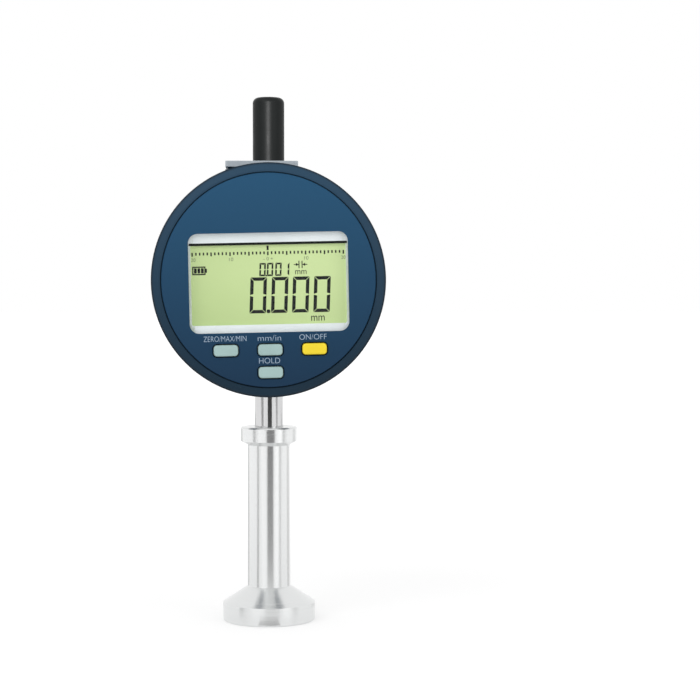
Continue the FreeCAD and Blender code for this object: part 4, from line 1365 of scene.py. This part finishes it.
        # painted shadow: a dark strip in front of the frame's top band stands for the shade that the band
        # casts on the glass
        dark += self.spots(self.mark(*self.shadow_size, on=self.frame), [self.shadow_row])
        return dark + [self.word(*unit, self.glass) for unit in self.units]

    def numbers(self) -> list[Piece]:
        """Makes the faint numbers under the scale.

        Returns:
            The numbers.
        """
        middle = (0.0, self.number_row)
        faint = [self.word("- 0 +", middle, (self.zero_width, self.number_height), self.glass)]
        for text, places in self.scale_numbers:
            number = self.word(text, middle, (self.number_width, self.number_height), self.glass)
            faint += self.spots(number, [(place, 0.0) for place in places])
        return faint


class Backdrop(Wiring):
    """A material or world of the studio, which isn't a part of the gauge."""

    def seen(self) -> Socket:
        """Tells which rays show the backdrop.

        Returns:
            1 for rays from the camera and for rays that metal and glass send out, else 0.
        """
        total = self.add("LightPath", out="Is Camera Ray")
        for name in ("Is Glossy Ray", "Is Transmission Ray"):
            total = self.add("Math", {0: total, 1: self.add("LightPath", out=name)}, operation="MAXIMUM")
        return total

    def show(self, shader: Socket) -> None:
        """Lets a shader show in place of the tree's first one.

        Args:
            shader: The shader's output.
        """
        output = next(node for node in self.tree.nodes if node.type.startswith("OUTPUT"))
        surface = output.inputs["Surface"]
        self.tree.nodes.remove(surface.links[0].from_node)
        self.tree.links.new(shader, surface)


@dataclass
class Studio:
    """The camera, floor, light and the cards that the metal reflects, in metres."""

    white: Triple = (1.0, 1.0, 1.0)
    fans: tuple[tuple[str, Point, Point, float], ...] = (
        ("near_fan", (-15, 15), (0.0135, 0.021), 0.6),
        ("foot_bright", (-16, 16), (0.027, 0.06), 1.15),
        ("middle_fan", (-10, 22), (0.065, 0.55), 0.47),
        ("far_fan", (-10, 24), (0.55, 0.97), 0.07),
        ("left_bright", (-36, -13), (0.03, 0.8), 1.15),
        ("right_bright", (27, 47), (0.03, 0.8), 1.15),
        ("left_grey", (-66, -57), (0.03, 0.5), 0.45),
        ("right_grey", (53, 65), (0.03, 0.5), 0.8),
        ("stem_left", (-62, -44), (0.62, 1.3), 0.4),
        ("stem_right", (58, 76), (0.62, 1.3), 0.65),
        ("rear_right", (112, 134), (0.03, 0.8), 0.75),
        ("rear_left", (196, 226), (0.03, 0.8), 0.7),
    )
    soft_lamps: tuple[tuple[str, Triple, Point, float], ...] = (
        ("key_lamp", (-0.55, -0.75, 0.75), (0.7, 0.7), 2.4),
        ("fill_lamp", (0.7, -0.6, 0.35), (0.5, 0.5), 0.8),
        ("cap_lamp", (-0.035, -0.9, 0.14), (0.15, 0.5), 16.0),
    )
    distance: float = 0.5
    height: float = 0.0937
    yaw: float = 2.615
    pitch: float = -2.027
    lens: float = 91.42
    aim_height: float = 0.12
    sky: float = 0.85
    floor_size: float = 12.0
    floor_drop: float = 0.00003
    floor_grey: float = 0.8
    shadow: float = 0.62
    glow: float = 0.44
    far_glow: float = 0.62
    glow_start: float = 0.08
    glow_end: float = 0.5
    fan_steps: int = 6
    fan_height: float = 0.0004
    roof: tuple[Point, ...] = ((-0.03, -0.02), (0.03, -0.02), (0.03, -0.0065), (-0.03, -0.0065))
    roof_height: float = 0.0633
    wall: tuple[Point, ...] = ((-0.16, 0.0), (0.4, 0.0), (0.4, 0.7), (-0.16, 0.7))
    wall_distance: float = 0.9
    upright_angle: float = 62.0
    upright_distance: float = 0.9
    upright_half: float = 0.1
    upright_height: float = 0.7

    def build(self) -> None:
        """Builds the studio."""
        self.camera()
        self.world()
        self.floor()
        self.cards()
        for row in self.soft_lamps:
            self.lamp(*row)
        self.cap_alone()

    def camera(self) -> None:
        """Puts the camera in front of the gauge, at the photograph's angle."""
        data = bpy.data.cameras.new("camera")
        put(data, lens=self.lens, sensor_width=36.0, clip_start=0.01, clip_end=50.0)
        camera = bpy.data.objects.new("camera", data)
        bpy.context.scene.collection.objects.link(camera)
        camera.location = (0, -self.distance, self.height)
        camera.rotation_euler = (math.radians(90 + self.pitch), 0, -math.radians(self.yaw))
        bpy.context.scene.camera = camera

    def world(self) -> None:
        """Makes white surroundings that light the gauge evenly."""
        world = bpy.data.worlds.new("surroundings")
        bpy.context.scene.world = world
        backdrop = Backdrop(world)
        light = backdrop.add("Background", {"Color": self.white, "Strength": self.sky})
        white = backdrop.add("Background", {"Color": self.white, "Strength": 1.0})
        backdrop.show(backdrop.add("MixShader", {0: backdrop.seen(), 1: light, 2: white}))

    def floor(self) -> None:
        """Lays a white floor that keeps a soft shadow near the gauge and melts into the white further out."""
        bpy.ops.mesh.primitive_plane_add(size=self.floor_size, location=(0, 0, -self.floor_drop))
        floor = Bench.fresh("floor")
        material = bpy.data.materials.new("floor")
        backdrop = Backdrop(material)
        plain = backdrop.add("BsdfDiffuse", {"Color": (self.floor_grey,) * 3})
        part = backdrop.add("BsdfDiffuse", {"Color": (self.shadow,) * 3})
        place = backdrop.add("TexCoord", out="Object")
        away = backdrop.add("VectorMath", {0: place}, "Value", operation="LENGTH")
        fade = backdrop.spread(away, self.glow, self.far_glow, self.glow_start, self.glow_end)
        both = backdrop.add("AddShader", {0: part, 1: backdrop.add("Emission", {"Strength": fade})})
        backdrop.show(backdrop.add("MixShader", {0: backdrop.seen(), 1: plain, 2: both}))
        floor.data.materials.append(material)

    def card(self, name: str, corners: Sequence[Triple | Vector], level: float) -> None:
        """Hangs a card that only metal and gloss show.

        Args:
            name: The card's name.
            corners: Its corners in order.
            level: How light it is, from 0 to 1.
        """
        mesh = bpy.data.meshes.new(name)
        mesh.from_pydata([Vector(corner) for corner in corners], [], [range(len(corners))])
        card = bpy.data.objects.new(name, mesh)
        bpy.context.scene.collection.objects.link(card)
        material = bpy.data.materials.new(name)
        backdrop = Backdrop(material)
        backdrop.show(backdrop.add("Emission", {"Strength": level}))
        mesh.materials.append(material)
        put(card, visible_camera=False, visible_diffuse=False, visible_transmission=False,
            visible_shadow=False)

    def fan(self, edges: Point, reach: Point) -> list[Triple]:
        """Lays out a fan on the floor round the gauge's axis.

        Args:
            edges: Its left and right edge, in degrees from straight ahead.
            reach: Where it starts and ends, in metres from the axis.

        Returns:
            Its corners.
        """
        left, right = edges
        steps = range(self.fan_steps + 1)
        turns = [math.radians(left + (right - left) * step / self.fan_steps) for step in steps]
        arcs = []
        for far in reach:
            arcs.append([(math.sin(turn) * far, -math.cos(turn) * far, self.fan_height) for turn in turns])
        return arcs[0] + arcs[1][::-1]

    def cards(self) -> None:
        """Lays and hangs what the bright metal shows.

        The fans on the floor give the column and the foot a dark stripe straight ahead, a bright one at
        either side of it and a grey one further round. The sheet under the head brightens the collar's top.
        """
        for name, edges, reach, level in self.fans:
            self.card(name, self.fan(edges, reach), level)
        self.card("under_head", [(x, y, self.roof_height) for x, y in self.roof], 1.0)
        self.card("dark_wall", [(x, -self.wall_distance, z) for x, z in self.wall], 0.06)
        up = Vector((0, 0, self.upright_height))
        for side, name in ((-1, "left_upright"), (1, "right_upright")):
            towards = math.radians(side * self.upright_angle)
            middle = Vector((math.sin(towards), -math.cos(towards), 0)) * self.upright_distance
            across = Vector((math.cos(towards), math.sin(towards), 0)) * self.upright_half
            corners = [middle - across, middle + across, middle + across + up, middle - across + up]
            self.card(name, corners, 0.5)

    def lamp(self, name: str, place: Triple, size: Point, power: float) -> None:
        """Hangs a soft lamp that faces the gauge.

        Args:
            name: The lamp's name.
            place: Where it hangs.
            size: Its width and height.
            power: Its power in watts.
        """
        data = bpy.data.lights.new(name, "AREA")
        put(data, shape="RECTANGLE", size=size[0], size_y=size[1], energy=power)
        lamp = bpy.data.objects.new(name, data)
        bpy.context.scene.collection.objects.link(lamp)
        lamp.location = place
        aim = Vector((0, 0, self.aim_height)) - Vector(place)
        lamp.rotation_euler = aim.to_track_quat("-Z", "Y").to_euler()

    def cap_alone(self) -> None:
        """Lets the cap's lamp light the black cap alone."""
        group = bpy.data.collections.new("cap_only")
        group.objects.link(bpy.data.objects["tall_cap"])
        bpy.data.objects["cap_lamp"].light_linking.receiver_collection = group


class Dresser:
    """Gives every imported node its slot's finish."""

    def __init__(self, frame: dict) -> None:
        """Keeps the loaded frame."""
        self.nodes = frame["nodes"]
        self.subparts = frame["record"]["subparts"]

    def dress(self) -> None:
        """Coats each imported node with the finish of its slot."""
        for part in self.subparts:
            node = self.nodes[part["node"]]
            FINISHES[part["material_slot"]].coat(node)
            LOG.info("%s keeps its mesh, finish %s", node.name, part["material_slot"])


def main() -> None:
    """Loads the frame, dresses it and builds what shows."""
    logging.basicConfig(level=logging.INFO, format="%(name)s: %(message)s")
    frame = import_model()
    Dresser(frame).dress()
    for assembly in (Base(), Case(), Head(), Lettering(), Studio()):
        LOG.info("building %s", type(assembly).__name__.lower())
        assembly.build()
    bpy.context.scene.view_settings.view_transform = "Standard"
    bpy.context.view_layer.update()


if __name__ == "__main__":
    main()
